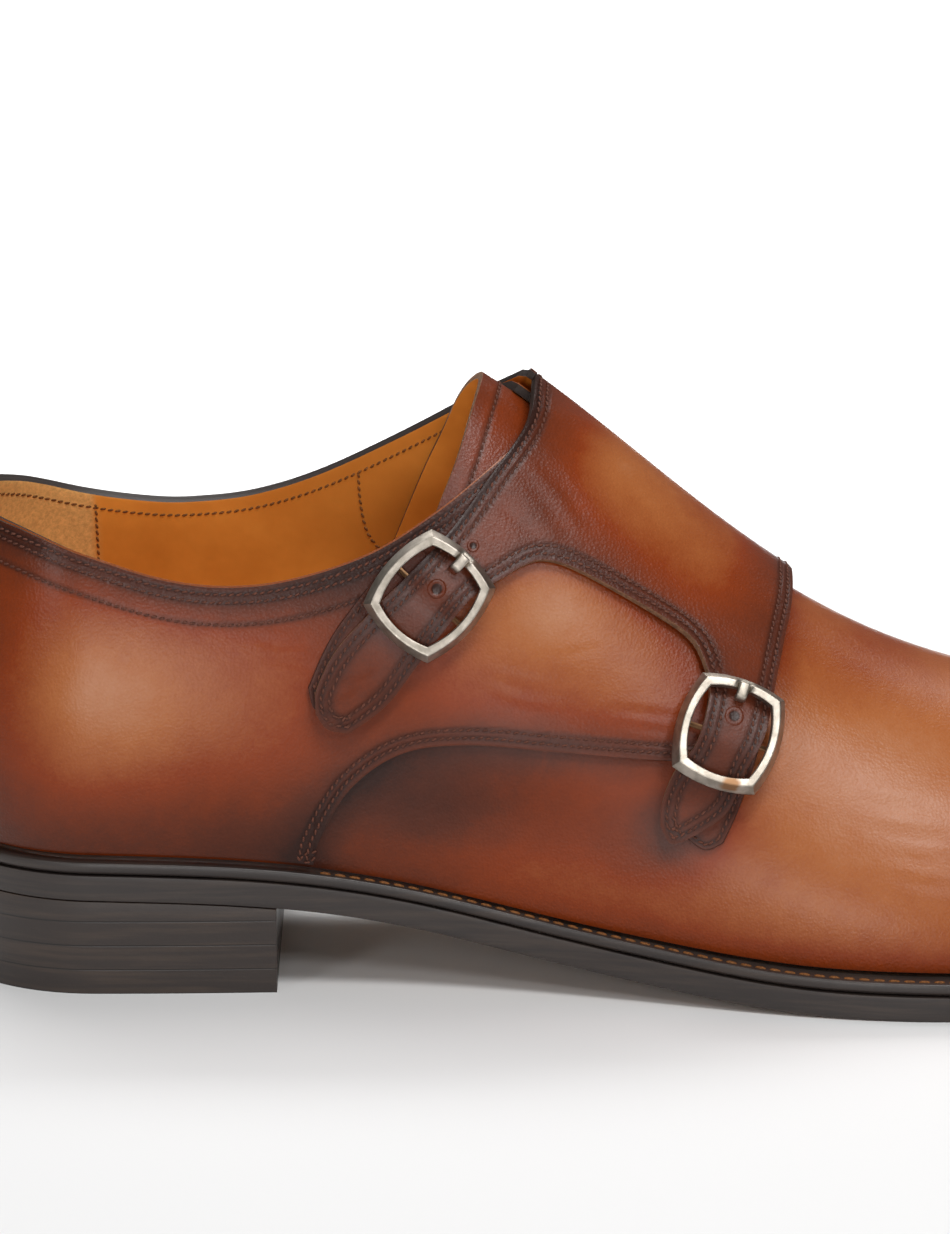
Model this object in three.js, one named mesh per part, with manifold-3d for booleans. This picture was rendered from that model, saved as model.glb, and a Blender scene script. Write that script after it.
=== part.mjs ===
// A right shoe with two buckled straps over the instep (a double monk strap shoe), in millimetres.
// +X runs from heel to toe, +Y to the medial side, +Z up. The floor is z = 0, and the origin is under the
// middle of the shoe's length and width.
import * as THREE from "three";
import { mergeVertices } from "three/addons/utils/BufferGeometryUtils.js";
import Module from "manifold-3d";

const wasm = await Module();
wasm.setup();

// Driving dimensions of the lasted form
const LAST_LENGTH = 299; // back of the heel curve to the tip of the toe
const HEEL_CENTRE = 34; // the back of the heel is swept round an upright axis here
const HEEL_ARC = 48.7; // way round the heel curve from its back to its side
const TOE_START = 250; // from here the outline turns in towards the tip

// Thicknesses
const GAP = 0.3; // left between two pieces that meet
const WALL = 1.8; // vamp and lining together
const QUARTER = 1.2;
const STRAP = 1.9; // two layers of leather sewn together
const TAB = 1.0;
const WELT = 3.0;
const OUTSOLE = 5.2;
const INSOLE_ABOVE = 2.0; // height of the insole's top over the feather line
const SOLE_STACK = 2 * GAP + WELT + OUTSOLE; // feather line down to the tread
const WELT_TUCK = 2.6; // how far the welt reaches in under the upper's edge

// Heel
const BREAST_X = 71;
const HEEL_TAPER = 2.2; // how much narrower the heel is on the floor, each side

// One row for each section of the last. x is its place along the foot, the first two on the heel's sweep.
// lateral and medial are the half widths at the feather line, from the centre line. feather is that line's
// height over the floor, and height the rise from it to the ridge. The outs, rise and crowns shape the side
// and the top of the section. centre moves the section sideways, and margin is the sole's edge past it.
const SECTION_COLUMNS = [
  "x", "lateral", "medial", "feather", "height", "lateralOut", "medialOut", "rise",
  "lateralCrown", "medialCrown", "centre", "margin",
];
const SECTIONS = {
  heelBack: [4, 30, 30, 30, 100, 14, 14, 28, 20, 20, 0, 3],
  heelQuarter: [12, 30.8, 30.8, 29.6, 100.4, 13.5, 13.5, 28, 21, 21, 0, 3],
  heelSide: [34, 31.5, 31.5, 29, 101, 13, 13, 28, 22, 22, 0, 3],
  heelBreast: [72, 31, 30, 27, 105, 12, 12, 28, 20, 20, 0, 2.5],
  waistBack: [100, 31.5, 26.5, 22.5, 107.2, 10, 12, 30, 19, 19, 0.5, 2],
  waist: [125, 34.5, 27, 17, 97.8, 8.5, 12, 30, 20.5, 20.5, 1, 2.2],
  instep: [150, 40, 30, 12.6, 81.6, 7, 11, 28, 20.5, 20.5, 2, 3.2],
  ballBack: [175, 46.5, 35, 9.6, 65.8, 5.5, 8, 24, 23, 22.5, 3.5, 4.6],
  ball: [200, 50.5, 40, 8.8, 53.8, 4, 5, 20, 27.5, 25.5, 4.5, 5.2],
  tread: [225, 49, 41, 8.8, 46.8, 3, 3, 18, 29, 27, 5, 5.2],
  toeBack: [250, 42, 38.5, 11, 40.5, 2, 2, 17, 27, 26, 5, 5.2],
  toeBox: [272, 34.2, 32.8, 14.8, 33.2, 1.5, 1.5, 15.5, 23.5, 23, 5, 5.4],
  toeRound: [288, 23.2, 22.8, 18, 25, 1, 1, 13, 17.5, 17.3, 5.5, 5.6],
  toeFront: [296, 12.3, 12.3, 20, 15, 0.5, 0.5, 8, 9.6, 9.6, 6, 5.8],
  toeTip: [299, 0, 0, 21, 0, 0, 0, 0, 0, 0, 6, 6],
};
// Columns that run level into the toe tip. The others fall to nothing there.
const LEVEL_AT_TOE = ["feather", "centre", "margin"];

// Side view outlines, as [x, z] from the back of the last and the floor
const LATERAL_TOPLINE = [
  [-20, 98.5], [6, 97], [19, 95.3], [33, 90.8], [49, 86], [62, 84.5], [75, 85.8],
  [90, 90.4], [103, 97.8], [114, 105.7], [124, 113], [134, 121],
];
const MEDIAL_TOPLINE = [
  [-20, 98.5], [6, 97], [16, 94.6], [30, 90], [44, 88], [54, 88.1], [66, 90],
  [80, 95.2], [98, 105], [112, 114], [120, 119.4], [124, 124],
];
// Lower edge of each quarter, from the sole in front of the heel forward to under the lower strap
const QUARTER_SEAM = [
  [77.5, 12], [78.6, 27], [80.1, 33.5], [86.3, 44.1], [96.3, 51], [109.5, 52.8], [128, 51.5], [150, 50],
];
// Front edge of the lateral quarter, hidden under the strap panel
const LATERAL_FRONT = [[161, 50.5], [165, 58], [163, 70], [150, 84], [134, 98], [120, 109]];
// Front edge of the medial quarter up to the ridge
const MEDIAL_FRONT = [[163, 52], [170, 60], [174, 70], [175.8, 79], [176, 92]];
// The strap panel on the lateral side: back edge and upper strap, the cut-out between the straps, then the
// lower strap and the front edge
const PANEL_BACK = [
  [124, 124.5], [123.2, 119.9], [121.6, 114.1], [114.2, 105.2], [107, 96.4], [98, 88], [89.8, 79.8],
  [83.2, 72.5], [79.3, 64.6], [79.4, 60.2],
];
const UPPER_TIP = [[81.6, 57.2], [86, 56.3], [93.6, 62], [100, 70.4], [106.7, 79.2]];
const CUT_OUT = [
  [111.3, 83.7], [117, 86.6], [120.6, 88.4], [125.3, 89.2], [132.7, 86.5], [148, 77.7], [155, 72.6],
  [157.7, 67.2],
];
const LOWER_LEFT = [[158, 63.6], [155.3, 55.1], [150.6, 48.5], [148.2, 41.8], [148, 38]];
const LOWER_TIP = [[150.3, 34.4], [155, 36.2], [161.4, 41], [165.3, 49.6]];
const PANEL_FRONT = [[168.8, 55.6], [171, 63], [173.4, 71], [175.6, 78.6], [176, 92]];
// Leather tabs that carry the buckles, under the straps
const UPPER_TAB = [[97, 93], [83.5, 76.5], [77.8, 65], [79.2, 60.6], [84, 60.8], [97, 71], [109, 86]];
const LOWER_TAB = [[158.5, 65], [155, 50], [151, 37], [156.5, 32.8], [160.6, 34.2], [164.8, 43.5], [171, 62]];
// Back edge of the tongue, from its top down the lateral side
const TONGUE_BACK = [[114.5, 126], [113, 122], [110.6, 116], [107.4, 107], [103.4, 97.6], [99, 86]];
const TONGUE_FRONT = 162;
const TONGUE_HALF = 0.56; // how far down each side the tongue reaches, as a share of the section

// Buckles: where their middle is in the side view, and the way the strap runs through them
const BUCKLES = {
  upper: { x: 102.1, z: 84.1, along: [-14.1, -14.7] },
  lower: { x: 161.8, z: 57.2, along: [-5.8, -15.7] },
};
const BUCKLE_LENGTH = 20.2; // along the strap, corner to corner
const BUCKLE_WIDTH = 17.4;
const BUCKLE_LONG_BOW = 2; // how far the sides along the strap swell past their corners
const BUCKLE_SHORT_BOW = 1.5; // and the bars across it
const BUCKLE_RIM = 2.6;
const BUCKLE_THICK = 2.5;
const BUCKLE_BEVEL = 0.6;
const BUCKLE_LIFT = 6.4; // underside of the frame over the vamp's surface
const BAR_DIAMETER = 1.6;
const BAR_LIFT = 3.95; // middle of the bar over the vamp's surface
const POST_SIDE = 1.4;
const PRONG_WIDTH = 1.8;
const PRONG_THICK = 1.2;
const PRONG_TOP = 9.1;
// The prong from the side: from over the frame's panel end, down through the strap and back to the bar
const PRONG_PROFILE = [
  [-11.8, 7.9], [-8.2, 7.9], [-6.6, 3.1], [-1.5, 3.1], [-1.5, 3.95], [-6, 3.95], [-7.6, 9.1], [-11.8, 9.1],
];
const SLOT_X = -6.7; // where the prong comes through the strap, from the buckle's middle
const SLOT_LENGTH = 3.1;
const SPARE_X = -3.2;
const SPARE_RADIUS = 0.9;

// How the layers lie over the vamp
const QUARTER_EDGE = 0.982; // lower edge of the quarters, as a share of the section
const LIFT_OVER_BAR = 2.2; // more height where a strap crosses the buckle's bar
const BAR_SPREAD = 9; // length of that rise on each side of the bar
const SEAM_FRONT = 135; // in front of this the tab and strap step down past the quarter's seam
const SEAM_LOW = 40;
const SEAM_HIGH = 49;

// Finishes
const FINISHES = {
  brownLeather: { color: 0x7a3d1e, roughness: 0.42, metalness: 0 },
  darkLeather: { color: 0x4a2a22, roughness: 0.4, metalness: 0 },
  tanLeather: { color: 0xb0702a, roughness: 0.6, metalness: 0 },
  soleLeather: { color: 0x2a211c, roughness: 0.5, metalness: 0 },
  nickel: { color: 0xb9b2a4, roughness: 0.32, metalness: 1 },
};

// Curves

// A cubic spline through (knots, values). It starts level, and ends level or with no bend.
function spline(knots, values, levelEnd) {
  const n = knots.length;
  const lower = new Array(n).fill(0);
  const middle = new Array(n).fill(1);
  const upper = new Array(n).fill(0);
  const right = new Array(n).fill(0);
  const step = (i) => knots[i + 1] - knots[i];
  const slope = (i) => (values[i + 1] - values[i]) / step(i);
  for (let i = 1; i < n - 1; i++) {
    lower[i] = step(i - 1);
    middle[i] = 2 * (step(i - 1) + step(i));
    upper[i] = step(i);
    right[i] = 6 * (slope(i) - slope(i - 1));
  }
  middle[0] = 2 * step(0);
  upper[0] = step(0);
  right[0] = 6 * slope(0);
  if (levelEnd) {
    lower[n - 1] = step(n - 2);
    middle[n - 1] = 2 * step(n - 2);
    right[n - 1] = -6 * slope(n - 2);
  }
  for (let i = 1; i < n; i++) {
    const share = lower[i] / middle[i - 1];
    middle[i] -= share * upper[i - 1];
    right[i] -= share * right[i - 1];
  }
  const bend = new Array(n).fill(0);
  bend[n - 1] = right[n - 1] / middle[n - 1];
  for (let i = n - 2; i >= 0; i--) bend[i] = (right[i] - upper[i] * bend[i + 1]) / middle[i];
  return (at) => {
    let i = 0;
    while (i < n - 2 && at > knots[i + 1]) i++;
    const h = step(i);
    const a = (knots[i + 1] - at) / h;
    const b = 1 - a;
    const curve = ((a ** 3 - a) * bend[i] + (b ** 3 - b) * bend[i + 1]) * h * h / 6;
    return a * values[i] + b * values[i + 1] + curve;
  };
}

const smoothstep = (low, high, value) => THREE.MathUtils.smoothstep(value, low, high);

// The last

const TOE_ARC = (LAST_LENGTH - TOE_START) * Math.PI / 2;
const STATION_TOE = HEEL_ARC + TOE_START - HEEL_CENTRE;
const STATION_END = STATION_TOE + TOE_ARC;

// Station of a section: its way from the back of the heel, round the heel curve and then forward.
function stationAt(x) {
  if (x <= TOE_START) return HEEL_ARC + x - HEEL_CENTRE;
  const share = (x - TOE_START) / (LAST_LENGTH - TOE_START);
  return STATION_TOE + TOE_ARC * Math.asin(share) * 2 / Math.PI;
}

function centreX(station) {
  if (station <= HEEL_ARC) return HEEL_CENTRE;
  if (station <= STATION_TOE) return HEEL_CENTRE + station - HEEL_ARC;
  const turn = (station - STATION_TOE) / TOE_ARC * Math.PI / 2;
  return TOE_START + (LAST_LENGTH - TOE_START) * Math.sin(turn);
}

// The way a section faces: straight back at the heel, and sideways from the heel's side on.
function sectionTurn(station) {
  return Math.PI / 2 * (1 + Math.max(0, 1 - station / HEEL_ARC));
}

const KNOTS = Object.values(SECTIONS).map((row) => stationAt(row[0]));
KNOTS[0] = 0;
KNOTS[1] = HEEL_ARC / 2;
const SIZES = {};
SECTION_COLUMNS.forEach((column, i) => {
  const values = Object.values(SECTIONS).map((row) => row[i]);
  SIZES[column] = spline(KNOTS, values, LEVEL_AT_TOE.includes(column));
});

// A point of the last. across runs from -1 at the lateral feather line over the ridge, 0, to 1 at the medial.
function lastPoint(station, across) {
  const side = across < 0 ? "lateral" : "medial";
  const t = 1 - Math.abs(across);
  const u = 1 - t;
  const width = SIZES[side](station);
  const out = SIZES[side + "Out"](station);
  const crown = SIZES[side + "Crown"](station);
  const height = SIZES.height(station);
  const reach = u ** 3 * width + 3 * t * u * u * (width + out) + 3 * t * t * u * crown;
  const rise = 3 * t * u * u * SIZES.rise(station) + (3 * t * t * u + t ** 3) * height;
  const turn = sectionTurn(station);
  const y = SIZES.centre(station) + Math.sign(across) * reach * Math.sin(turn);
  return new THREE.Vector3(centreX(station) + reach * Math.cos(turn), y, SIZES.feather(station) + rise);
}

function lastNormal(station, across) {
  const e = 0.01;
  if (station > STATION_END - e) return new THREE.Vector3(1, 0, 0);
  const low = Math.max(0, station - e);
  const high = Math.min(STATION_END, station + e);
  const before = Math.max(-1, across - e / 10);
  const after = Math.min(1, across + e / 10);
  const along = lastPoint(high, across).sub(lastPoint(low, across));
  const over = lastPoint(station, after).sub(lastPoint(station, before));
  const normal = along.cross(over);
  if (station < e) normal.y = 0;
  return normal.normalize();
}

// A point at some height over the last's surface.
function skinPoint(station, across, lift) {
  return lastPoint(station, across).addScaledVector(lastNormal(station, across), lift);
}

// The place across a section where the lateral side is at height z.
function acrossAt(station, z) {
  let low = -1;
  let high = 0;
  for (let i = 0; i < 40; i++) {
    const middle = (low + high) / 2;
    if (lastPoint(station, middle).z < z) low = middle;
    else high = middle;
  }
  return (low + high) / 2;
}

// The place on the lateral side that is under the point [x, z] of the side view at some lift.
function seatUnder(x, z, lift) {
  const seat = { station: 0, across: 0 };
  let [baseX, baseZ] = [x, z];
  for (let i = 0; i < 30; i++) {
    seat.station = stationAt(baseX);
    seat.across = acrossAt(seat.station, baseZ);
    const p = skinPoint(seat.station, seat.across, lift);
    baseX += x - p.x;
    baseZ += z - p.z;
  }
  return seat;
}

// Solids

function solidOf(geometry) {
  const bare = new THREE.BufferGeometry();
  bare.setAttribute("position", geometry.getAttribute("position"));
  if (geometry.index) bare.setIndex(geometry.index);
  const merged = mergeVertices(bare, 1e-3);
  const triVerts = [];
  const index = merged.index.array;
  for (let i = 0; i < index.length; i += 3) {
    const [a, b, c] = [index[i], index[i + 1], index[i + 2]];
    if (a !== b && b !== c && c !== a) triVerts.push(a, b, c);
  }
  return new wasm.Manifold(new wasm.Mesh({
    numProp: 3,
    vertProperties: merged.attributes.position.array,
    triVerts: new Uint32Array(triVerts),
  }));
}

function geometryOf(solid) {
  const mesh = solid.getMesh();
  const geometry = new THREE.BufferGeometry();
  geometry.setAttribute("position", new THREE.BufferAttribute(new Float32Array(mesh.vertProperties), 3));
  geometry.setIndex(new THREE.BufferAttribute(mesh.triVerts, 1));
  geometry.computeVertexNormals();
  return geometry;
}

// A closed solid from loops of points: each loop joins the next one, and the last joins the first.
function tubeOfLoops(loops) {
  const n = loops[0].length;
  const position = [];
  const index = [];
  loops.forEach((loop) => loop.forEach((p) => position.push(p.x, p.y, p.z)));
  loops.forEach((_, k) => {
    const next = (k + 1) % loops.length;
    for (let i = 0; i < n; i++) {
      const j = (i + 1) % n;
      index.push(k * n + i, k * n + j, next * n + j, k * n + i, next * n + j, next * n + i);
    }
  });
  const geometry = new THREE.BufferGeometry();
  geometry.setAttribute("position", new THREE.Float32BufferAttribute(position, 3));
  geometry.setIndex(index);
  return geometry;
}

// A sheet on the last between two heights over its surface. A whole sheet, heel to toe, closes on itself.
function sheetSolid({ stations, acrosses, inner, outer, whole = false }) {
  const ns = stations.length;
  const na = acrosses.length;
  const position = [];
  for (const lift of [outer, inner])
    for (const s of stations)
      for (const a of acrosses) position.push(...skinPoint(s, a, lift(s, a)).toArray());
  const at = (layer, i, j) => layer * ns * na + i * na + j;
  const index = [];
  const quad = (a, b, c, d) => index.push(a, b, c, a, c, d);
  for (let i = 0; i < ns - 1; i++)
    for (let j = 0; j < na - 1; j++) {
      quad(at(0, i, j), at(0, i + 1, j), at(0, i + 1, j + 1), at(0, i, j + 1));
      quad(at(1, i, j), at(1, i, j + 1), at(1, i + 1, j + 1), at(1, i + 1, j));
    }
  for (let i = 0; i < ns - 1; i++) {
    quad(at(1, i, 0), at(1, i + 1, 0), at(0, i + 1, 0), at(0, i, 0));
    quad(at(0, i, na - 1), at(0, i + 1, na - 1), at(1, i + 1, na - 1), at(1, i, na - 1));
  }
  if (!whole)
    for (let j = 0; j < na - 1; j++) {
      quad(at(0, 0, j), at(0, 0, j + 1), at(1, 0, j + 1), at(1, 0, j));
      quad(at(1, ns - 1, j), at(1, ns - 1, j + 1), at(0, ns - 1, j + 1), at(0, ns - 1, j));
    }
  const geometry = new THREE.BufferGeometry();
  geometry.setAttribute("position", new THREE.Float32BufferAttribute(position, 3));
  geometry.setIndex(index);
  return solidOf(geometry);
}

function evenly(low, high, steps) {
  return Array.from({ length: steps + 1 }, (_, i) => low + (high - low) * i / steps);
}

// A smooth run of points through an outline's [x, z] rows.
function smooth(rows, perSpan = 3) {
  const curve = new THREE.SplineCurve(rows.map(([x, z]) => new THREE.Vector2(x, z)));
  return curve.getPoints((rows.length - 1) * perSpan);
}

// A side view outline carried across the shoe from y = low to y = high.
function prism(points, low, high) {
  const shape = new THREE.Shape(points);
  const geometry = new THREE.ExtrudeGeometry(shape, { depth: high - low, bevelEnabled: false });
  geometry.rotateX(Math.PI / 2);
  geometry.translate(0, high, 0);
  return solidOf(geometry);
}

const corner = (x, z) => new THREE.Vector2(x, z);
const FAR = 120; // past the shoe's side
const HIGH = 160; // past its top
const LOW = -10;

// Upper

// The upper's own stations and places across: the quarters over it use the same ones, so their facets match.
const UPPER_STATIONS = evenly(0, STATION_END, 42);
const UPPER_ACROSS = evenly(-1, 1, 22);
const QUARTER_STATIONS = UPPER_STATIONS.filter((s) => s < stationAt(188));

function between(values, low, high) {
  return [low, ...values.filter((v) => v > low + 0.01 && v < high - 0.01), high];
}

// Everything over a topline, on one side of the foot.
function collarCutter(topline, low, high) {
  const line = smooth(topline);
  return prism([...line, corner(line.at(-1).x, HIGH), corner(line[0].x, HIGH)], low, high);
}

const lateralCollar = collarCutter(LATERAL_TOPLINE, -FAR, 0);
const medialCollar = collarCutter(MEDIAL_TOPLINE, -0.001, FAR);

function upper() {
  const shell = sheetSolid({
    stations: UPPER_STATIONS,
    acrosses: UPPER_ACROSS,
    inner: () => -WALL,
    outer: () => 0,
    whole: true,
  });
  return shell.subtract(lateralCollar).subtract(medialCollar);
}

function tongue() {
  const sheet = sheetSolid({
    stations: between(UPPER_STATIONS, stationAt(96), stationAt(TONGUE_FRONT)),
    acrosses: between(UPPER_ACROSS, -TONGUE_HALF, TONGUE_HALF),
    inner: () => -2 * WALL - GAP,
    outer: () => -WALL - GAP,
  });
  const line = smooth(TONGUE_BACK);
  const behind = [...line, corner(LOW, line.at(-1).y), corner(LOW, HIGH), corner(line[0].x, HIGH)];
  return sheet.subtract(prism(behind, -FAR, FAR));
}

function lateralQuarter() {
  const sheet = sheetSolid({
    stations: QUARTER_STATIONS,
    acrosses: between(UPPER_ACROSS, -QUARTER_EDGE, -0.2),
    inner: () => GAP,
    outer: () => GAP + QUARTER,
  });
  const seam = smooth([...QUARTER_SEAM, ...LATERAL_FRONT]);
  const outline = [corner(-30, LOW), corner(seam[0].x, LOW), ...seam, corner(118, HIGH), corner(-30, HIGH)];
  return sheet.intersect(prism(outline, -FAR, -GAP)).subtract(lateralCollar);
}

// Height over the last of whatever lies under the tabs: the quarter, and past its seam the vamp.
function groundLift(p) {
  const overSeam = p.x > SEAM_FRONT ? smoothstep(SEAM_LOW, SEAM_HIGH, p.z) : 1;
  return GAP + (QUARTER + GAP) * overSeam;
}

// Where each buckle sits on the last.
const SEATS = {};
for (const name of Object.keys(BUCKLES)) {
  const seat = seatUnder(BUCKLES[name].x, BUCKLES[name].z, BUCKLE_LIFT + BUCKLE_THICK);
  const { x, z } = lastPoint(seat.station, seat.across);
  SEATS[name] = { ...seat, x, z };
}

// Height over the last of the strap panel's inner face.
function strapLift(station, across) {
  const p = lastPoint(station, across);
  const ground = across < 0 ? groundLift(p) : GAP + QUARTER + GAP;
  const panel = THREE.MathUtils.lerp(ground, GAP, smoothstep(0.05, 0.3, across));
  const strap = (TAB + GAP) * smoothstep(0.36, 0.5, -across);
  let overBar = 0;
  if (across < 0)
    for (const name of Object.keys(BUCKLES)) {
      const way = new THREE.Vector2(...BUCKLES[name].along).normalize();
      const from = new THREE.Vector2(p.x - SEATS[name].x, p.z - SEATS[name].z);
      const nearby = 1 - smoothstep(2 * BAR_SPREAD, 3 * BAR_SPREAD, from.length());
      overBar += nearby * LIFT_OVER_BAR * Math.exp(-((from.dot(way) / BAR_SPREAD) ** 2));
    }
  return panel + strap + overBar;
}

function medialQuarterWithStraps() {
  const joint = UPPER_ACROSS[14];
  const strapStations = between(evenly(0, STATION_END, 70), stationAt(74), QUARTER_STATIONS.at(-1));
  const thick = (a) => THREE.MathUtils.lerp(STRAP, QUARTER, smoothstep(0.05, 0.3, a));
  const outer = (s, a) => strapLift(s, a) + thick(a);
  const over = sheetSolid({
    stations: strapStations,
    acrosses: [...evenly(-0.86, -0.3, 13), ...evenly(-0.22, joint, 6)],
    inner: strapLift,
    outer,
  });
  const side = sheetSolid({
    stations: [...QUARTER_STATIONS.filter((s) => s < strapStations[0] - 2), ...strapStations],
    acrosses: between(UPPER_ACROSS, joint, QUARTER_EDGE),
    inner: strapLift,
    outer,
  });
  const seam = smooth([...QUARTER_SEAM, ...MEDIAL_FRONT]);
  const medial = [corner(-30, LOW), corner(seam[0].x, LOW), ...seam, corner(176, HIGH), corner(-30, HIGH)];
  const lateral = [
    ...smooth(PANEL_BACK), ...smooth(UPPER_TIP), ...smooth(CUT_OUT), ...smooth(LOWER_LEFT),
    ...smooth(LOWER_TIP), ...smooth(PANEL_FRONT), corner(176, HIGH), corner(124, HIGH),
  ];
  const straps = over.intersect(prism(lateral, -FAR, 0.01));
  const quarter = over.add(side).intersect(prism(medial, 0, FAR)).subtract(medialCollar);
  let whole = straps.add(quarter);
  for (const name of Object.keys(BUCKLES)) whole = whole.subtract(strapHoles(name));
  return whole;
}

function tab(rows) {
  const outline = smooth(rows);
  const xs = outline.map((p) => p.x);
  const sheet = sheetSolid({
    stations: evenly(stationAt(Math.min(...xs) - 2), stationAt(Math.max(...xs) + 2), 6),
    acrosses: evenly(-0.9, -0.36, 12),
    inner: (s, a) => groundLift(lastPoint(s, a)),
    outer: (s, a) => groundLift(lastPoint(s, a)) + TAB,
  });
  return sheet.intersect(prism(outline, -FAR, 0));
}

// Buckles, each made flat: x runs along the strap towards its tip, y across it, z off the shoe

function placeOf(name) {
  const { station, across } = SEATS[name];
  const { along } = BUCKLES[name];
  const normal = lastNormal(station, across);
  const way = new THREE.Vector3(along[0], 0, along[1]);
  way.y = -way.dot(normal) / normal.y;
  way.normalize();
  const side = normal.clone().cross(way);
  return new THREE.Matrix4().makeBasis(way, side, normal).setPosition(lastPoint(station, across));
}

function placed(geometry, name) {
  return solidOf(geometry.applyMatrix4(placeOf(name)));
}

function block(lengths, middle) {
  return new THREE.BoxGeometry(...lengths).translate(...middle);
}

// An outline with four sides that swell past its corners.
function bowedOutline(length, width, Outline) {
  const [a, b] = [length / 2, width / 2];
  const outline = new Outline();
  outline.moveTo(-a, -b);
  outline.quadraticCurveTo(0, -b - 2 * BUCKLE_LONG_BOW, a, -b);
  outline.quadraticCurveTo(a + 2 * BUCKLE_SHORT_BOW, 0, a, b);
  outline.quadraticCurveTo(0, b + 2 * BUCKLE_LONG_BOW, -a, b);
  outline.quadraticCurveTo(-a - 2 * BUCKLE_SHORT_BOW, 0, -a, -b);
  return outline;
}

function buckleFrame(name) {
  const outline = bowedOutline(BUCKLE_LENGTH, BUCKLE_WIDTH, THREE.Shape);
  outline.holes.push(bowedOutline(BUCKLE_LENGTH - 2 * BUCKLE_RIM, BUCKLE_WIDTH - 2 * BUCKLE_RIM, THREE.Path));
  const ring = new THREE.ExtrudeGeometry(outline, {
    depth: BUCKLE_THICK - 2 * BUCKLE_BEVEL,
    bevelThickness: BUCKLE_BEVEL,
    bevelSize: BUCKLE_BEVEL,
    bevelOffset: -BUCKLE_BEVEL,
    bevelSegments: 1,
    curveSegments: 5,
  });
  ring.translate(0, 0, BUCKLE_LIFT + BUCKLE_BEVEL);
  const postY = BUCKLE_WIDTH / 2 + BUCKLE_LONG_BOW - BUCKLE_RIM / 2;
  const postHeight = BUCKLE_LIFT + BUCKLE_THICK / 2 - BAR_LIFT;
  const bar = new THREE.CylinderGeometry(BAR_DIAMETER / 2, BAR_DIAMETER / 2, 2 * postY, 12);
  bar.translate(0, 0, BAR_LIFT);
  let solid = placed(ring, name).add(placed(bar, name));
  for (const y of [-postY, postY]) {
    const post = block([POST_SIDE, POST_SIDE, postHeight], [0, y, BAR_LIFT + postHeight / 2]);
    solid = solid.add(placed(post, name));
  }
  const notch = block([8, PRONG_WIDTH + 2 * GAP, 4], [-12.4, 0, PRONG_TOP - PRONG_THICK - GAP + 2]);
  return solid.subtract(placed(notch, name));
}

function prong(name) {
  const profile = new THREE.Shape(PRONG_PROFILE.map(([x, z]) => new THREE.Vector2(x, z)));
  const geometry = new THREE.ExtrudeGeometry(profile, { depth: PRONG_WIDTH, bevelEnabled: false });
  geometry.rotateX(Math.PI / 2);
  geometry.translate(0, PRONG_WIDTH / 2, 0);
  return placed(geometry, name);
}

// The hole that a prong comes through and the spare one nearer the strap's tip.
function strapHoles(name) {
  const slot = block([SLOT_LENGTH, PRONG_WIDTH + 2 * GAP, 6], [SLOT_X, 0, 5.5]);
  const spare = new THREE.CylinderGeometry(SPARE_RADIUS, SPARE_RADIUS, 6, 10);
  spare.rotateX(Math.PI / 2);
  spare.translate(SPARE_X, 0, 6.5);
  return placed(slot, name).add(placed(spare, name));
}

// Sole

// A point of the feather line moved outwards in plan. side is -1 for lateral and 1 for medial.
function solePoint(station, side, out, z) {
  const e = 0.05;
  const p = lastPoint(station, side);
  const next = lastPoint(Math.min(STATION_END, station + e), side);
  const last = lastPoint(Math.max(0, station - e), side);
  let outward = new THREE.Vector3(side * (last.y - next.y), side * (next.x - last.x), 0);
  if (station === 0) outward = new THREE.Vector3(-1, 0, 0);
  if (station === STATION_END) outward = new THREE.Vector3(1, 0, 0);
  p.addScaledVector(outward.normalize(), out);
  p.z = z;
  return p;
}

// Right round the shoe: forward on the lateral side and back on the medial one.
function roundLoop(stations, out, z) {
  const lateral = stations.map((s) => solePoint(s, -1, out(s), z(s)));
  const medial = stations.slice(1, -1).map((s) => solePoint(s, 1, out(s), z(s)));
  return [...lateral, ...medial.reverse()];
}

const soleStations = [
  ...evenly(0, HEEL_ARC, 10).slice(0, -1), ...evenly(HEEL_ARC, STATION_TOE, 22).slice(0, -1),
  ...evenly(STATION_TOE, STATION_END, 14),
];
const featherZ = (s) => SIZES.feather(s);
const soleMargin = (s) => SIZES.margin(s);
const outsoleTop = (s) => featherZ(s) - 2 * GAP - WELT;
const outsoleBottom = (s) => Math.max(0, featherZ(s) - SOLE_STACK);

function welt() {
  const tuck = () => -WELT_TUCK;
  const top = (s) => featherZ(s) - GAP;
  const bottom = (s) => featherZ(s) - GAP - WELT;
  return solidOf(tubeOfLoops([
    roundLoop(soleStations, soleMargin, bottom),
    roundLoop(soleStations, soleMargin, top),
    roundLoop(soleStations, tuck, top),
    roundLoop(soleStations, tuck, bottom),
  ]));
}

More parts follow.
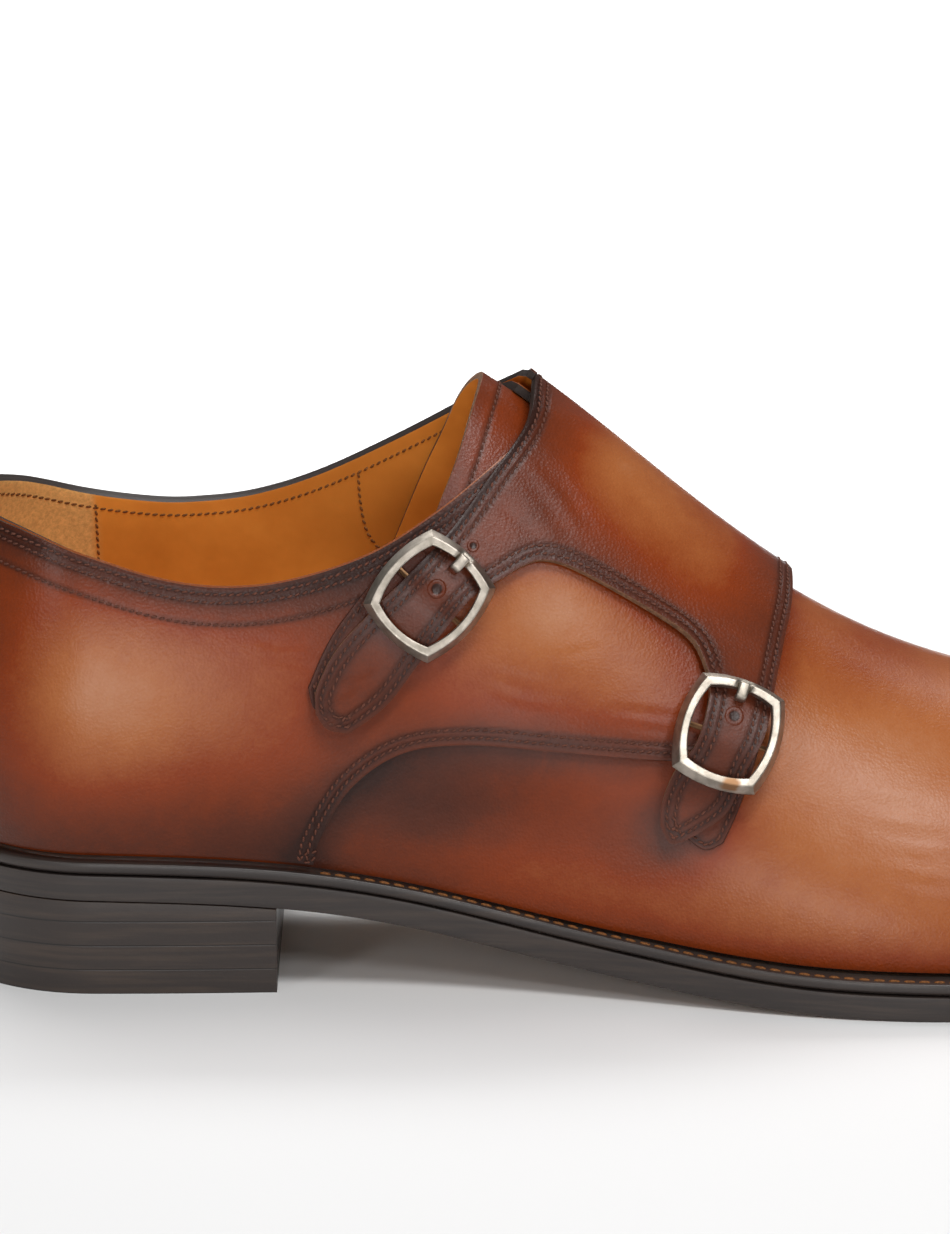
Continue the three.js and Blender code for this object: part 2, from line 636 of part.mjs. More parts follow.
// A plate that follows the sole's outline between two heights, closed in front where it stops short.
function plate(stations, outs, heights) {
  const n = stations.length;
  const position = [];
  for (const k of [0, 1])
    for (const side of [-1, 1])
      for (const s of stations) position.push(...solePoint(s, side, outs[k](s), heights[k](s)).toArray());
  const at = (top, side, i) => (2 * top + side) * n + i;
  const index = [];
  const quad = (a, b, c, d) => index.push(a, b, c, a, c, d);
  for (let i = 0; i < n - 1; i++) {
    quad(at(1, 0, i), at(1, 0, i + 1), at(1, 1, i + 1), at(1, 1, i));
    quad(at(0, 0, i), at(0, 1, i), at(0, 1, i + 1), at(0, 0, i + 1));
    quad(at(0, 0, i), at(0, 0, i + 1), at(1, 0, i + 1), at(1, 0, i));
    quad(at(0, 1, i), at(1, 1, i), at(1, 1, i + 1), at(0, 1, i + 1));
  }
  if (stations.at(-1) < STATION_END)
    quad(at(0, 0, n - 1), at(0, 1, n - 1), at(1, 1, n - 1), at(1, 0, n - 1));
  const geometry = new THREE.BufferGeometry();
  geometry.setAttribute("position", new THREE.Float32BufferAttribute(position, 3));
  geometry.setIndex(index);
  return solidOf(geometry);
}

function outsole() {
  return plate(soleStations, [soleMargin, soleMargin], [outsoleBottom, outsoleTop]);
}

function insole() {
  const tuck = () => -WELT_TUCK - GAP;
  const heights = [(s) => featherZ(s) - GAP - WELT, (s) => featherZ(s) + INSOLE_ABOVE];
  return plate(soleStations, [tuck, tuck], heights);
}

function heel() {
  const stations = [...soleStations.filter((s) => s < stationAt(BREAST_X) - 2), stationAt(BREAST_X)];
  return plate(stations, [(s) => soleMargin(s) - HEEL_TAPER, soleMargin],
    [() => 0, (s) => featherZ(s) - SOLE_STACK - GAP]);
}

// Assembly

const shoe = new THREE.Group();
shoe.name = "double_monk_strap_shoe";

function addNode(name, solid, finish) {
  const mesh = new THREE.Mesh(geometryOf(solid), new THREE.MeshStandardMaterial(FINISHES[finish]));
  mesh.material.name = finish;
  mesh.name = name;
  shoe.add(mesh);
}

addNode("outsole", outsole(), "soleLeather");
addNode("heel", heel(), "soleLeather");
addNode("welt", welt(), "soleLeather");
addNode("insole", insole(), "tanLeather");
addNode("upper", upper(), "brownLeather");
addNode("tongue", tongue(), "brownLeather");
addNode("quarter_lateral", lateralQuarter(), "brownLeather");
addNode("quarter_medial_with_straps", medialQuarterWithStraps(), "brownLeather");
addNode("tab_upper", tab(UPPER_TAB), "darkLeather");
addNode("tab_lower", tab(LOWER_TAB), "darkLeather");
for (const name of Object.keys(BUCKLES)) {
  addNode("buckle_" + name, buckleFrame(name), "nickel");
  addNode("prong_" + name, prong(name), "nickel");
}

// The origin is under the middle of the whole.
const box = new THREE.Box3().setFromObject(shoe);
const middle = box.getCenter(new THREE.Vector3());
shoe.children.forEach((mesh) => mesh.geometry.translate(-middle.x, -middle.y, -box.min.z));

export default shoe;
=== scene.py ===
"""Looks of a right shoe with two buckled straps over the instep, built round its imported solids.

Sizes are in millimetres from the back of the last, its axis and the floor, until a mesh is placed.
"""

import logging
import math
from dataclasses import dataclass, field
from enum import Enum
from typing import Callable, Dict, List, Optional, Sequence, Tuple, Union

import bmesh
import bpy
import numpy as np
from mathutils import Matrix, Vector
from mathutils.kdtree import KDTree


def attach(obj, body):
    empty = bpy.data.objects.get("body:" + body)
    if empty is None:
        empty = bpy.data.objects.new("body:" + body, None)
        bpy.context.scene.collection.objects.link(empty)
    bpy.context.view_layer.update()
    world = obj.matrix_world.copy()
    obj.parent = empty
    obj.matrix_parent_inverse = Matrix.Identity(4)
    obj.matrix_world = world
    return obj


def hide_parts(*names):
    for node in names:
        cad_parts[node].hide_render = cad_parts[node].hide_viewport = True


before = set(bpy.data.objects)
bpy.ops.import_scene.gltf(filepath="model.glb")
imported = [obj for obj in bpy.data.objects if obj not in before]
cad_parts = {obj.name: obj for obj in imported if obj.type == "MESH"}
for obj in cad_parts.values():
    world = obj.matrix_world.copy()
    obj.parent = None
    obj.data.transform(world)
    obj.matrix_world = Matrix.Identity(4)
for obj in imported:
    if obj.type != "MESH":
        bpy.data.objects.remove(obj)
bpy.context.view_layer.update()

log = logging.getLogger("shoe")

Array = np.ndarray
Row = Tuple[float, float]
Colour = Tuple[float, float, float]
Lift = Callable[[Array, Array], Array]

MM = 0.001
ORIGIN = np.array([151.69, 0.024, 0.0])  # the part's origin, from the back of the last

# The lasted form, as in the part's solids
LAST_LENGTH = 299.0
HEEL_CENTRE = 34.0
HEEL_ARC = 48.7
TOE_START = 250.0
WALL = 1.8
QUARTER = 1.2
GAP = 0.3
STRAP = 1.9
TAB = 1.0
WELT = 3.0
OUTSOLE = 5.2
SOLE_STACK = 2 * GAP + WELT + OUTSOLE
WELT_TUCK = 2.6
INSOLE_ABOVE = 2.0
BREAST_X = 71.0
HEEL_TAPER = 2.2
FRAME_LIFT = 6.4  # of a buckle's frame over the last
FRAME_THICK = 2.5
LATERAL_END = 5.0  # how far across the worn places of the lateral side reach
WELT_STITCH = 2.3
WELT_GIRTH = 1.6  # how many times as thick as the upper's thread
GROOVE = 0.6  # half width of the hollow that a row of sewing pulls
SEAM_TURN = (76.0, 93.0)  # between these the quarters' lower seam climbs off the feather line
SEAM_START = 77.6

# One row for each section of the last: half widths and height over the feather line, the side's swell and
# rise, the top's width, the centre line's place and the sole's margin past the feather line
SECTION_COLUMNS = (
    "x", "lateral", "medial", "feather", "height", "lateral_out", "medial_out", "rise",
    "lateral_crown", "medial_crown", "centre", "margin",
)
SECTIONS: Dict[str, Tuple[float, ...]] = {
    "heel_back": (4, 30, 30, 30, 100, 14, 14, 28, 20, 20, 0, 3),
    "heel_quarter": (12, 30.8, 30.8, 29.6, 100.4, 13.5, 13.5, 28, 21, 21, 0, 3),
    "heel_side": (34, 31.5, 31.5, 29, 101, 13, 13, 28, 22, 22, 0, 3),
    "heel_breast": (72, 31, 30, 27, 105, 12, 12, 28, 20, 20, 0, 2.5),
    "waist_back": (100, 31.5, 26.5, 22.5, 107.2, 10, 12, 30, 19, 19, 0.5, 2),
    "waist": (125, 34.5, 27, 17, 97.8, 8.5, 12, 30, 20.5, 20.5, 1, 2.2),
    "instep": (150, 40, 30, 12.6, 81.6, 7, 11, 28, 20.5, 20.5, 2, 3.2),
    "ball_back": (175, 46.5, 35, 9.6, 65.8, 5.5, 8, 24, 23, 22.5, 3.5, 4.6),
    "ball": (200, 50.5, 40, 8.8, 53.8, 4, 5, 20, 27.5, 25.5, 4.5, 5.2),
    "tread": (225, 49, 41, 8.8, 46.8, 3, 3, 18, 29, 27, 5, 5.2),
    "toe_back": (250, 42, 38.5, 11, 40.5, 2, 2, 17, 27, 26, 5, 5.2),
    "toe_box": (272, 34.2, 32.8, 14.8, 33.2, 1.5, 1.5, 15.5, 23.5, 23, 5, 5.4),
    "toe_round": (288, 23.2, 22.8, 18, 25, 1, 1, 13, 17.5, 17.3, 5.5, 5.6),
    "toe_front": (296, 12.3, 12.3, 20, 15, 0.5, 0.5, 8, 9.6, 9.6, 6, 5.8),
    "toe_tip": (299, 0, 0, 21, 0, 0, 0, 0, 0, 0, 6, 6),
}
LEVEL_AT_TOE = ("feather", "centre", "margin")

# Side view outlines (x, z), as in the part's solids
LATERAL_TOPLINE: Sequence[Row] = (
    (-20, 98.5), (6, 97), (19, 95.3), (33, 90.8), (49, 86), (62, 84.5), (75, 85.8), (90, 90.4),
    (103, 97.8), (114, 105.7), (124, 113), (134, 121),
)
MEDIAL_TOPLINE: Sequence[Row] = (
    (-20, 98.5), (6, 97), (16, 94.6), (30, 90), (44, 88), (54, 88.1), (66, 90), (80, 95.2),
    (98, 105), (112, 114), (120, 119.4), (124, 124),
)
QUARTER_SEAM: Sequence[Row] = (
    (77.5, 12), (78.6, 27), (80.1, 33.5), (86.3, 44.1), (96.3, 51), (109.5, 52.8), (128, 51.5),
    (150, 50),
)
LATERAL_FRONT: Sequence[Row] = ((161, 50.5), (168, 52))
MEDIAL_FRONT: Sequence[Row] = ((163, 52), (170, 60), (174, 70), (175.8, 79), (176, 92))
PANEL_BACK: Sequence[Row] = (
    (124, 124.5), (123.2, 119.9), (121.6, 114.1), (114.2, 105.2), (107, 96.4), (98, 88), (89.8, 79.8),
    (83.2, 72.5), (79.3, 64.6), (79.4, 60.2),
)
UPPER_TIP: Sequence[Row] = ((79.4, 60.2), (81.6, 57.2), (86, 56.3))
UPPER_RIGHT: Sequence[Row] = (
    (117, 86.6), (111.3, 83.7), (106.7, 79.2), (100, 70.4), (93.6, 62), (86, 56.3),
)
CUT_OUT: Sequence[Row] = (
    (117, 86.6), (120.6, 88.4), (125.3, 89.2), (132.7, 86.5), (148, 77.7), (155, 72.6), (157.7, 67.2),
)
LOWER_LEFT: Sequence[Row] = (
    (157.7, 67.2), (158, 63.6), (155.3, 55.1), (150.6, 48.5), (148.2, 41.8), (148, 38),
)
LOWER_TIP: Sequence[Row] = ((148, 38), (150.3, 34.4), (155, 36.2))
PANEL_FRONT: Sequence[Row] = (
    (176, 92), (175.6, 78.6), (173.4, 71), (171, 63), (168.8, 55.6), (165.3, 49.6), (161.4, 41),
    (155, 36.2),
)
UPPER_TAB: Dict[str, Sequence[Row]] = {
    "left": ((97, 93), (83.5, 76.5), (77.8, 65)),
    "right": ((109, 86), (97, 71), (84, 60.8)),
    "tip": ((77.8, 65), (79.2, 60.6), (84, 60.8)),
}
LOWER_TAB: Dict[str, Sequence[Row]] = {
    "left": ((158.5, 65), (155, 50), (151, 37)),
    "right": ((171, 62), (164.8, 43.5), (160.6, 34.2)),
    "tip": ((151, 37), (156.5, 32.8), (160.6, 34.2)),
}
TONGUE_BACK: Sequence[Row] = (
    (114.5, 126), (113, 122), (110.6, 116), (107.4, 107), (103.4, 97.6), (99, 86), (96, 78),
)

STRAP_EDGES = ("upper_tip", "upper_right", "cut", "lower_left", "lower_tip")

# How the straps lie over the buckles
LIFT_OVER_BAR = 2.2
BAR_SPREAD = 9.0
SEAM_FRONT = 135.0
SEAM_LOW = 40.0
SEAM_HIGH = 49.0
PANEL_THINS = (0.05, 0.3)  # places across where the panel gets as thin as the quarter
TABS_START = (0.36, 0.5)


class Side(Enum):
    """The two sides of the foot, with the sign of their places across the last."""

    LATERAL = -1
    MEDIAL = 1


def smoothstep(low: float, high: float, value: Array) -> Array:
    """A soft step from 0 at low to 1 at high."""
    t = np.clip((value - low) / (high - low), 0.0, 1.0)
    return t * t * (3.0 - 2.0 * t)


def fade(way: Array, reach: float) -> Array:
    """A soft falloff: 1 at no distance, and about a third at its reach."""
    return np.exp(-((way / reach) ** 2))


def halve(low: Array, high: Array, short: Callable[[Array], Array], rounds: int) -> Array:
    """Closes in on the values where a test turns.

    Args:
        low: values where the test holds.
        high: values where it doesn't.
        short: the test.
        rounds: how many times the gap is halved.

    Returns:
        The values.
    """
    for _ in range(rounds):
        middle = (low + high) / 2
        held = short(middle)
        low, high = np.where(held, middle, low), np.where(held, high, middle)
    return (low + high) / 2


def flow(rows: Sequence[Row], per_span: int = 24) -> Array:
    """Runs a smooth curve through an outline's rows.

    Args:
        rows: the outline's points in the side view.
        per_span: steps between two rows.

    Returns:
        The curve's points, one row each.
    """
    p = np.array(rows, float)
    padded = np.vstack([p[0], p, p[-1]])
    t = np.linspace(0.0, 1.0, per_span, endpoint=False)[:, None]
    spans = []
    for i in range(len(p) - 1):
        a, b, c, d = padded[i : i + 4]
        v0, v1 = (c - a) / 2, (d - b) / 2
        spans.append(
            (2 * b - 2 * c + v0 + v1) * t**3 + (3 * c - 3 * b - 2 * v0 - v1) * t**2 + v0 * t + b
        )
    return np.vstack(spans + [p[-1:]])


def unit(vectors: Array) -> Array:
    """Returns vectors at a length of 1."""
    return vectors / np.linalg.norm(vectors, axis=-1, keepdims=True)


def run_of(points: Array) -> Array:
    """Returns the way along a curve from its start to each of its points."""
    return np.concatenate([[0.0], np.cumsum(np.linalg.norm(np.diff(points, axis=0), axis=1))])


def even(points: Array, count: int) -> Array:
    """Takes a curve's points at equal steps of its length.

    Args:
        points: the curve, one point a row.
        count: how many points to return.

    Returns:
        count points along the same curve.
    """
    way = run_of(points)
    at = np.linspace(0.0, way[-1], count)
    return np.stack([np.interp(at, way, points[:, k]) for k in range(points.shape[1])], axis=1)


class Spline:
    """A cubic spline that starts level, and ends level or with no bend."""

    def __init__(self, knots: Array, values: Array, level_end: bool) -> None:
        """Solves the spline's bends.

        Args:
            knots: places along the foot.
            values: the value at each knot.
            level_end: whether the curve runs level into its last knot.
        """
        n = len(knots)
        step = np.diff(knots)
        slope = np.diff(values) / step
        matrix = np.eye(n)
        right = np.zeros(n)
        for i in range(1, n - 1):
            matrix[i, i - 1 : i + 2] = step[i - 1], 2 * (step[i - 1] + step[i]), step[i]
            right[i] = 6 * (slope[i] - slope[i - 1])
        matrix[0, :2] = 2 * step[0], step[0]
        right[0] = 6 * slope[0]
        if level_end:
            matrix[-1, -2:] = step[-1], 2 * step[-1]
            right[-1] = -6 * slope[-1]
        self.knots = knots
        self.values = values
        self.bend = np.linalg.solve(matrix, right)

    def __call__(self, at: Array) -> Array:
        """Works out the curve.

        Args:
            at: places along the foot.

        Returns:
            The curve's value at each.
        """
        i = np.clip(np.searchsorted(self.knots, at) - 1, 0, len(self.knots) - 2)
        h = self.knots[i + 1] - self.knots[i]
        a = (self.knots[i + 1] - at) / h
        b = 1 - a
        curve = ((a**3 - a) * self.bend[i] + (b**3 - b) * self.bend[i + 1]) * h * h / 6
        return a * self.values[i] + b * self.values[i + 1] + curve


class Last:
    """The form that every piece of the shoe lies on.

    A station is the way round the heel curve and forward to the toe. A place across runs from -1 at the
    lateral feather line over the ridge, 0, to 1 at the medial feather line.
    """

    def __init__(self) -> None:
        """Makes a spline of each column of the sections."""
        table = np.array(list(SECTIONS.values()), float)
        self.toe_arc = (LAST_LENGTH - TOE_START) * math.pi / 2
        self.toe_station = HEEL_ARC + TOE_START - HEEL_CENTRE
        self.end = self.toe_station + self.toe_arc
        knots = self.station(table[:, 0])
        knots[:2] = 0.0, HEEL_ARC / 2
        self.size: Dict[str, Spline] = {}
        for name, column in zip(SECTION_COLUMNS, table.T):
            self.size[name] = Spline(knots, column, name in LEVEL_AT_TOE)

    def station(self, x: Union[float, Array]) -> Array:
        """Finds stations.

        Args:
            x: sections' places along the foot, in front of the heel curve.

        Returns:
            One station each.
        """
        x = np.asarray(x, float)
        share = np.clip((x - TOE_START) / (LAST_LENGTH - TOE_START), 0.0, 1.0)
        toe = self.toe_station + self.toe_arc * np.arcsin(share) * 2 / math.pi
        return np.where(x <= TOE_START, HEEL_ARC + x - HEEL_CENTRE, toe)

    def point(self, s: Array, a: Array) -> Array:
        """Works out points of the last.

        Args:
            s: stations.
            a: places across.

        Returns:
            One point for each station and place.
        """
        s, a = np.broadcast_arrays(np.asarray(s, float), np.asarray(a, float))
        outer = a < 0
        t = 1 - np.abs(a)
        u = 1 - t
        size = {name: curve(s) for name, curve in self.size.items() if name != "x"}
        width = np.where(outer, size["lateral"], size["medial"])
        out = np.where(outer, size["lateral_out"], size["medial_out"])
        crown = np.where(outer, size["lateral_crown"], size["medial_crown"])
        reach = u**3 * width + 3 * t * u * u * (width + out) + 3 * t * t * u * crown
        rise = 3 * t * u * u * size["rise"] + (3 * t * t * u + t**3) * size["height"]
        turn = math.pi / 2 * (1 + np.maximum(0.0, 1 - s / HEEL_ARC))
        toe = np.clip((s - self.toe_station) / self.toe_arc, 0.0, 1.0) * math.pi / 2
        middle = HEEL_CENTRE + np.clip(s - HEEL_ARC, 0.0, TOE_START - HEEL_CENTRE)
        middle = middle + (LAST_LENGTH - TOE_START) * np.sin(toe)
        y = size["centre"] + np.sign(a) * reach * np.sin(turn)
        return np.stack([middle + reach * np.cos(turn), y, size["feather"] + rise], axis=-1)

    def normal(self, s: Array, a: Array) -> Array:
        """Works out the last's outward normals.

        Args:
            s: stations.
            a: places across.

        Returns:
            One normal for each station and place.
        """
        s, a = np.broadcast_arrays(np.asarray(s, float), np.asarray(a, float))
        e = 0.02
        along = self.point(np.minimum(s + e, self.end), a) - self.point(np.maximum(s - e, 0.0), a)
        over = self.point(s, np.minimum(a + e / 20, 1.0)) - self.point(s, np.maximum(a - e / 20, -1.0))
        n = np.cross(along, over)
        n[s < e, 1] = 0.0
        n[s > self.end - e] = (1.0, 0.0, 0.0)
        return unit(n)

    def edge(self, s: Array) -> Tuple[Array, Array]:
        """Returns the feather line's height and the sole's margin at some stations."""
        return self.size["feather"](s), self.size["margin"](s)

    def skin(self, s: Array, a: Array, lift: Union[float, Lift] = 0.0) -> Array:
        """Returns points at some height over the last.

        Args:
            s: stations.
            a: places across.
            lift: the height, or a function of station and place across.

        Returns:
            One point for each station and place.
        """
        s, a = np.broadcast_arrays(np.asarray(s, float), np.asarray(a, float))
        height = lift(s, a) if callable(lift) else np.full(s.shape, float(lift))
        return self.point(s, a) + self.normal(s, a) * height[..., None]

    def trim(self, s: Array, side: Side, lift: Union[float, Lift], line: Array) -> Array:
        """Finds where the sheet at some height meets a line that is given in the side view.

        Args:
            s: stations.
            side: the side of the foot.
            lift: height of the sheet over the last.
            line: the line's points (x, z), with x rising.

        Returns:
            The place across for each station.
        """

        def under(share: Array) -> Array:
            """Tells which points are below the line."""
            p = self.skin(s, side.value * share, lift)
            return p[:, 2] < np.interp(p[:, 0], line[:, 0], line[:, 1])

        return side.value * halve(np.ones_like(s), np.zeros_like(s), under, 36)

    def seat(self, points: Array, lift: Union[float, Lift], side: Side = Side.LATERAL) -> Array:
        """Finds the stations and places across of points of the side view.

        Args:
            points: side view points (x, z), in front of the heel curve.
            lift: height of the sheet that they are on.
            side: the side of the foot.

        Returns:
            One (station, place across) for each point.
        """
        base = np.array(points, float)
        for _ in range(14):
            s = self.station(base[:, 0])
            a = side.value * halve(
                np.ones_like(s), np.zeros_like(s),
                lambda share: self.point(s, side.value * share)[:, 2] < base[:, 1], 30,
            )
            base = base + points - self.skin(s, a, lift)[:, (0, 2)]
        return np.stack([s, a], axis=1)

    def sole(self, s: Array, side: Side, out: Array, z: Array) -> Array:
        """Returns points round the sole's outline.

        Args:
            s: stations.
            side: the side of the foot.
            out: way out from the feather line, in plan.
            z: height over the floor.

        Returns:
            One point for each station.
        """
        e = 0.05
        edge = np.full_like(s, side.value)
        p = self.point(s, edge)
        run = self.point(np.minimum(s + e, self.end), edge) - self.point(np.maximum(s - e, 0.0), edge)
        away = np.stack([-side.value * run[:, 1], side.value * run[:, 0], np.zeros_like(s)], axis=1)
        away[s <= 0.0] = (-1.0, 0.0, 0.0)
        away[s >= self.end] = (1.0, 0.0, 0.0)
        p = p + unit(away) * np.asarray(out)[..., None]
        p[:, 2] = z
        return p


LAST = Last()


@dataclass(frozen=True)
class BucklePlace:
    """Where a buckle is: its middle in the side view and the way the strap runs through it."""

    x: float
    z: float
    along: Row

    def matrix(self) -> Matrix:
        """Works out the buckle's place.

        Returns:
            Its axes and middle: x along the strap to its tip, y across it, z off the shoe.
        """
        (s, a), = LAST.seat(np.array([(self.x, self.z)]), FRAME_LIFT + FRAME_THICK)
        origin, normal = Vector(LAST.point(s, a)), Vector(LAST.normal(s, a))
        way = Vector((self.along[0], 0.0, self.along[1]))
        way.y = -way.dot(normal) / normal.y
        way.normalize()
        side = normal.cross(way)
        turn = Matrix((way, side, normal)).transposed().to_4x4()
        return Matrix.Translation(origin) @ turn


UPPER_BUCKLE = BucklePlace(102.1, 84.1, (-14.1, -14.7))
LOWER_BUCKLE = BucklePlace(161.8, 57.2, (-5.8, -15.7))


class Straps:
    """Heights over the last of what lies under and in the straps."""

    def __init__(self) -> None:
        """Finds the buckles' seats."""
        self.bars: List[Tuple[Array, Array]] = []
        for place in (UPPER_BUCKLE, LOWER_BUCKLE):
            seat = place.matrix().translation
            way = np.array(place.along) / np.linalg.norm(place.along)
            self.bars.append((np.array([seat.x, seat.z]), way))

    def ground(self, s: Array, a: Array) -> Array:
        """Works out the height of what the straps lie on.

        Args:
            s: stations.
            a: places across.

        Returns:
            The quarter's height, and past its seam the vamp's.
        """
        p = LAST.point(s, a)
        over = np.where(p[..., 0] > SEAM_FRONT, smoothstep(SEAM_LOW, SEAM_HIGH, p[..., 2]), 1.0)
        return GAP + (QUARTER + GAP) * over

    def under(self, s: Array, a: Array) -> Array:
        """Works out the height of the straps' inner face.

        Args:
            s: stations.
            a: places across.

        Returns:
            One height for each.
        """
        p = LAST.point(s, a)
        ground = np.where(a < 0, self.ground(s, a), GAP + QUARTER + GAP)
        panel = ground + (GAP - ground) * smoothstep(*PANEL_THINS, a)
        strap = (TAB + GAP) * smoothstep(*TABS_START, -a)
        over_bar = np.zeros_like(panel)
        for middle, way in self.bars:
            off = p[..., (0, 2)] - middle
            near = 1 - smoothstep(2 * BAR_SPREAD, 3 * BAR_SPREAD, np.linalg.norm(off, axis=-1))
            over_bar += near * LIFT_OVER_BAR * fade(off @ way, BAR_SPREAD)
        return panel + strap + np.where(a < 0, over_bar, 0.0)

    def outer(self, s: Array, a: Array) -> Array:
        """Returns the height of the straps' outer face."""
        return self.under(s, a) + STRAP + (QUARTER - STRAP) * smoothstep(*PANEL_THINS, a)


STRAPS = Straps()


@dataclass(frozen=True)
class Grain:
    """One kind of noise: its repeats in a metre, detail, roughness, and how much of it is used."""

    scale: float
    detail: float = 2.0
    rough: float = 0.5
    amount: float = 1.0


def rgba(colour: Colour, share: float = 1.0) -> Tuple[float, ...]:
    """Returns a colour, or a darker share of it, as a socket takes it."""
    return (*[c * share for c in colour], 1.0)


class Value:
    """A shader value that does maths with Python's operators."""

    def __init__(self, graph: "Graph", socket: bpy.types.NodeSocket) -> None:
        """Wraps an output socket of a graph."""
        self.graph = graph
        self.socket = socket

    def _math(self, operation: str, first: object, second: object) -> "Value":
        """Adds a Math node and returns its result."""
        return self.graph.node("ShaderNodeMath", {"operation": operation}, {0: first, 1: second})

    def __add__(self, other: object) -> "Value":
        """Adds."""
        return self._math("ADD", self, other)

    __radd__ = __add__

    def __sub__(self, other: object) -> "Value":
        """Takes other away."""
        return self._math("SUBTRACT", self, other)

    def __rsub__(self, other: object) -> "Value":
        """Takes this away from other."""
        return self._math("SUBTRACT", other, self)

    def __mul__(self, other: object) -> "Value":
        """Multiplies."""
        return self._math("MULTIPLY", self, other)

    __rmul__ = __mul__

    def step(self, low: float, high: float) -> "Value":
        """Returns a soft step from 0 at low to 1 at high."""
        settings = {"interpolation_type": "SMOOTHSTEP"}
        return self.graph.node("ShaderNodeMapRange", settings, {0: self, 1: low, 2: high, 3: 0.0, 4: 1.0})


class Graph:
    """The nodes of one material."""

    def __init__(self, name: str) -> None:
        """Starts a material with a Principled shader alone.

        Args:
            name: the material's name.
        """
        self.material = bpy.data.materials.new(name)
        self.material.use_nodes = True
        self.tree = self.material.node_tree
        self.shader = self.tree.nodes["Principled BSDF"]

    def node(
        self, kind: str, settings: Optional[Dict[str, object]] = None,
        inputs: Optional[Dict[object, object]] = None, output: object = 0,
    ) -> Value:
        """Adds a node.

        Args:
            kind: the node's type.
            settings: its properties, and stops for a colour ramp.
            inputs: a value or a link for each input named or numbered.
            output: which of its outputs to return.

        Returns:
            The output, as a value.
        """
        made = self.tree.nodes.new(kind)
        for key, setting in (settings or {}).items():
            if key == "stops":
                ramp = made.color_ramp.elements
                while len(ramp) < len(setting):
                    ramp.new(0.5)
                for element, (position, colour) in zip(ramp, setting):
                    element.position = position
                    element.color = rgba(colour)
            else:
                setattr(made, key, setting)
        for key, given in (inputs or {}).items():
            self.feed(made.inputs[key], given)
        return Value(self, made.outputs[output])

    def feed(self, socket: bpy.types.NodeSocket, given: object) -> None:
        """Links a value to a socket, or sets a constant on it.

        Args:
            socket: the socket.
            given: the value or the constant.
        """
        if isinstance(given, Value):
            self.tree.links.new(given.socket, socket)
        else:
            socket.default_value = given

    def surface(self, **given: object) -> bpy.types.Material:
        """Sets the Principled shader's inputs.

        Args:
            given: a value or a constant for each input's name, with _ for a space.

        Returns:
            The material.
        """
        for key, what in given.items():
            self.feed(self.shader.inputs[key.replace("_", " ")], what)
        return self.material

    def place(self) -> Value:
        """Returns the object's own coordinates, in metres."""
        return self.node("ShaderNodeTexCoord", output="Object")

    def attribute(self, name: str) -> Value:
        """Returns a number that the mesh carries."""
        return self.node("ShaderNodeAttribute", {"attribute_name": name}, output="Fac")

    def noise(self, grain: Grain, where: Optional[Value] = None) -> Value:
        """Adds soft noise round 0.5.

        Args:
            grain: its kind.
            where: coordinates other than the object's own.

        Returns:
            The noise.
        """
        inputs = {"Vector": where or self.place(), "Scale": grain.scale, "Detail": grain.detail}
        return self.node("ShaderNodeTexNoise", {}, {**inputs, "Roughness": grain.rough})

    def sway(self, grain: Grain, where: Optional[Value] = None) -> Value:
        """Returns noise round 0, as strong as its amount."""
        return (self.noise(grain, where) - 0.5) * grain.amount

    def stretched(self, x: float, y: float, z: float) -> Value:
        """Returns the object's coordinates, scaled."""
        return self.node("ShaderNodeMapping", {}, {"Vector": self.place(), "Scale": (x, y, z)})

    def blend(self, share: object, first: object, second: object) -> Value:
        """Mixes two colours."""
        return self.node("ShaderNodeMix", {"data_type": "RGBA"}, {0: share, 6: first, 7: second}, 2)

    def ramp(self, value: Value, stops: Sequence[Tuple[float, Colour]]) -> Value:
        """Runs a value through a colour ramp."""
        return self.node("ShaderNodeValToRGB", {"stops": stops}, {0: value})

    def bump(
        self, height: Value, depth_mm: float, strength: float, under: Optional[Value] = None,
    ) -> Value:
        """Adds the relief of a height.

        Args:
            height: the height, from 0 to 1.
            depth_mm: its depth in millimetres.
            strength: how much of it shows.
            under: normals that it is laid over.

        Returns:
            The normals.
        """
        inputs: Dict[object, object] = {
            "Height": height, "Distance": depth_mm * MM, "Strength": strength,
        }
        if under is not None:
            inputs["Normal"] = under
        return self.node("ShaderNodeBump", {}, inputs)


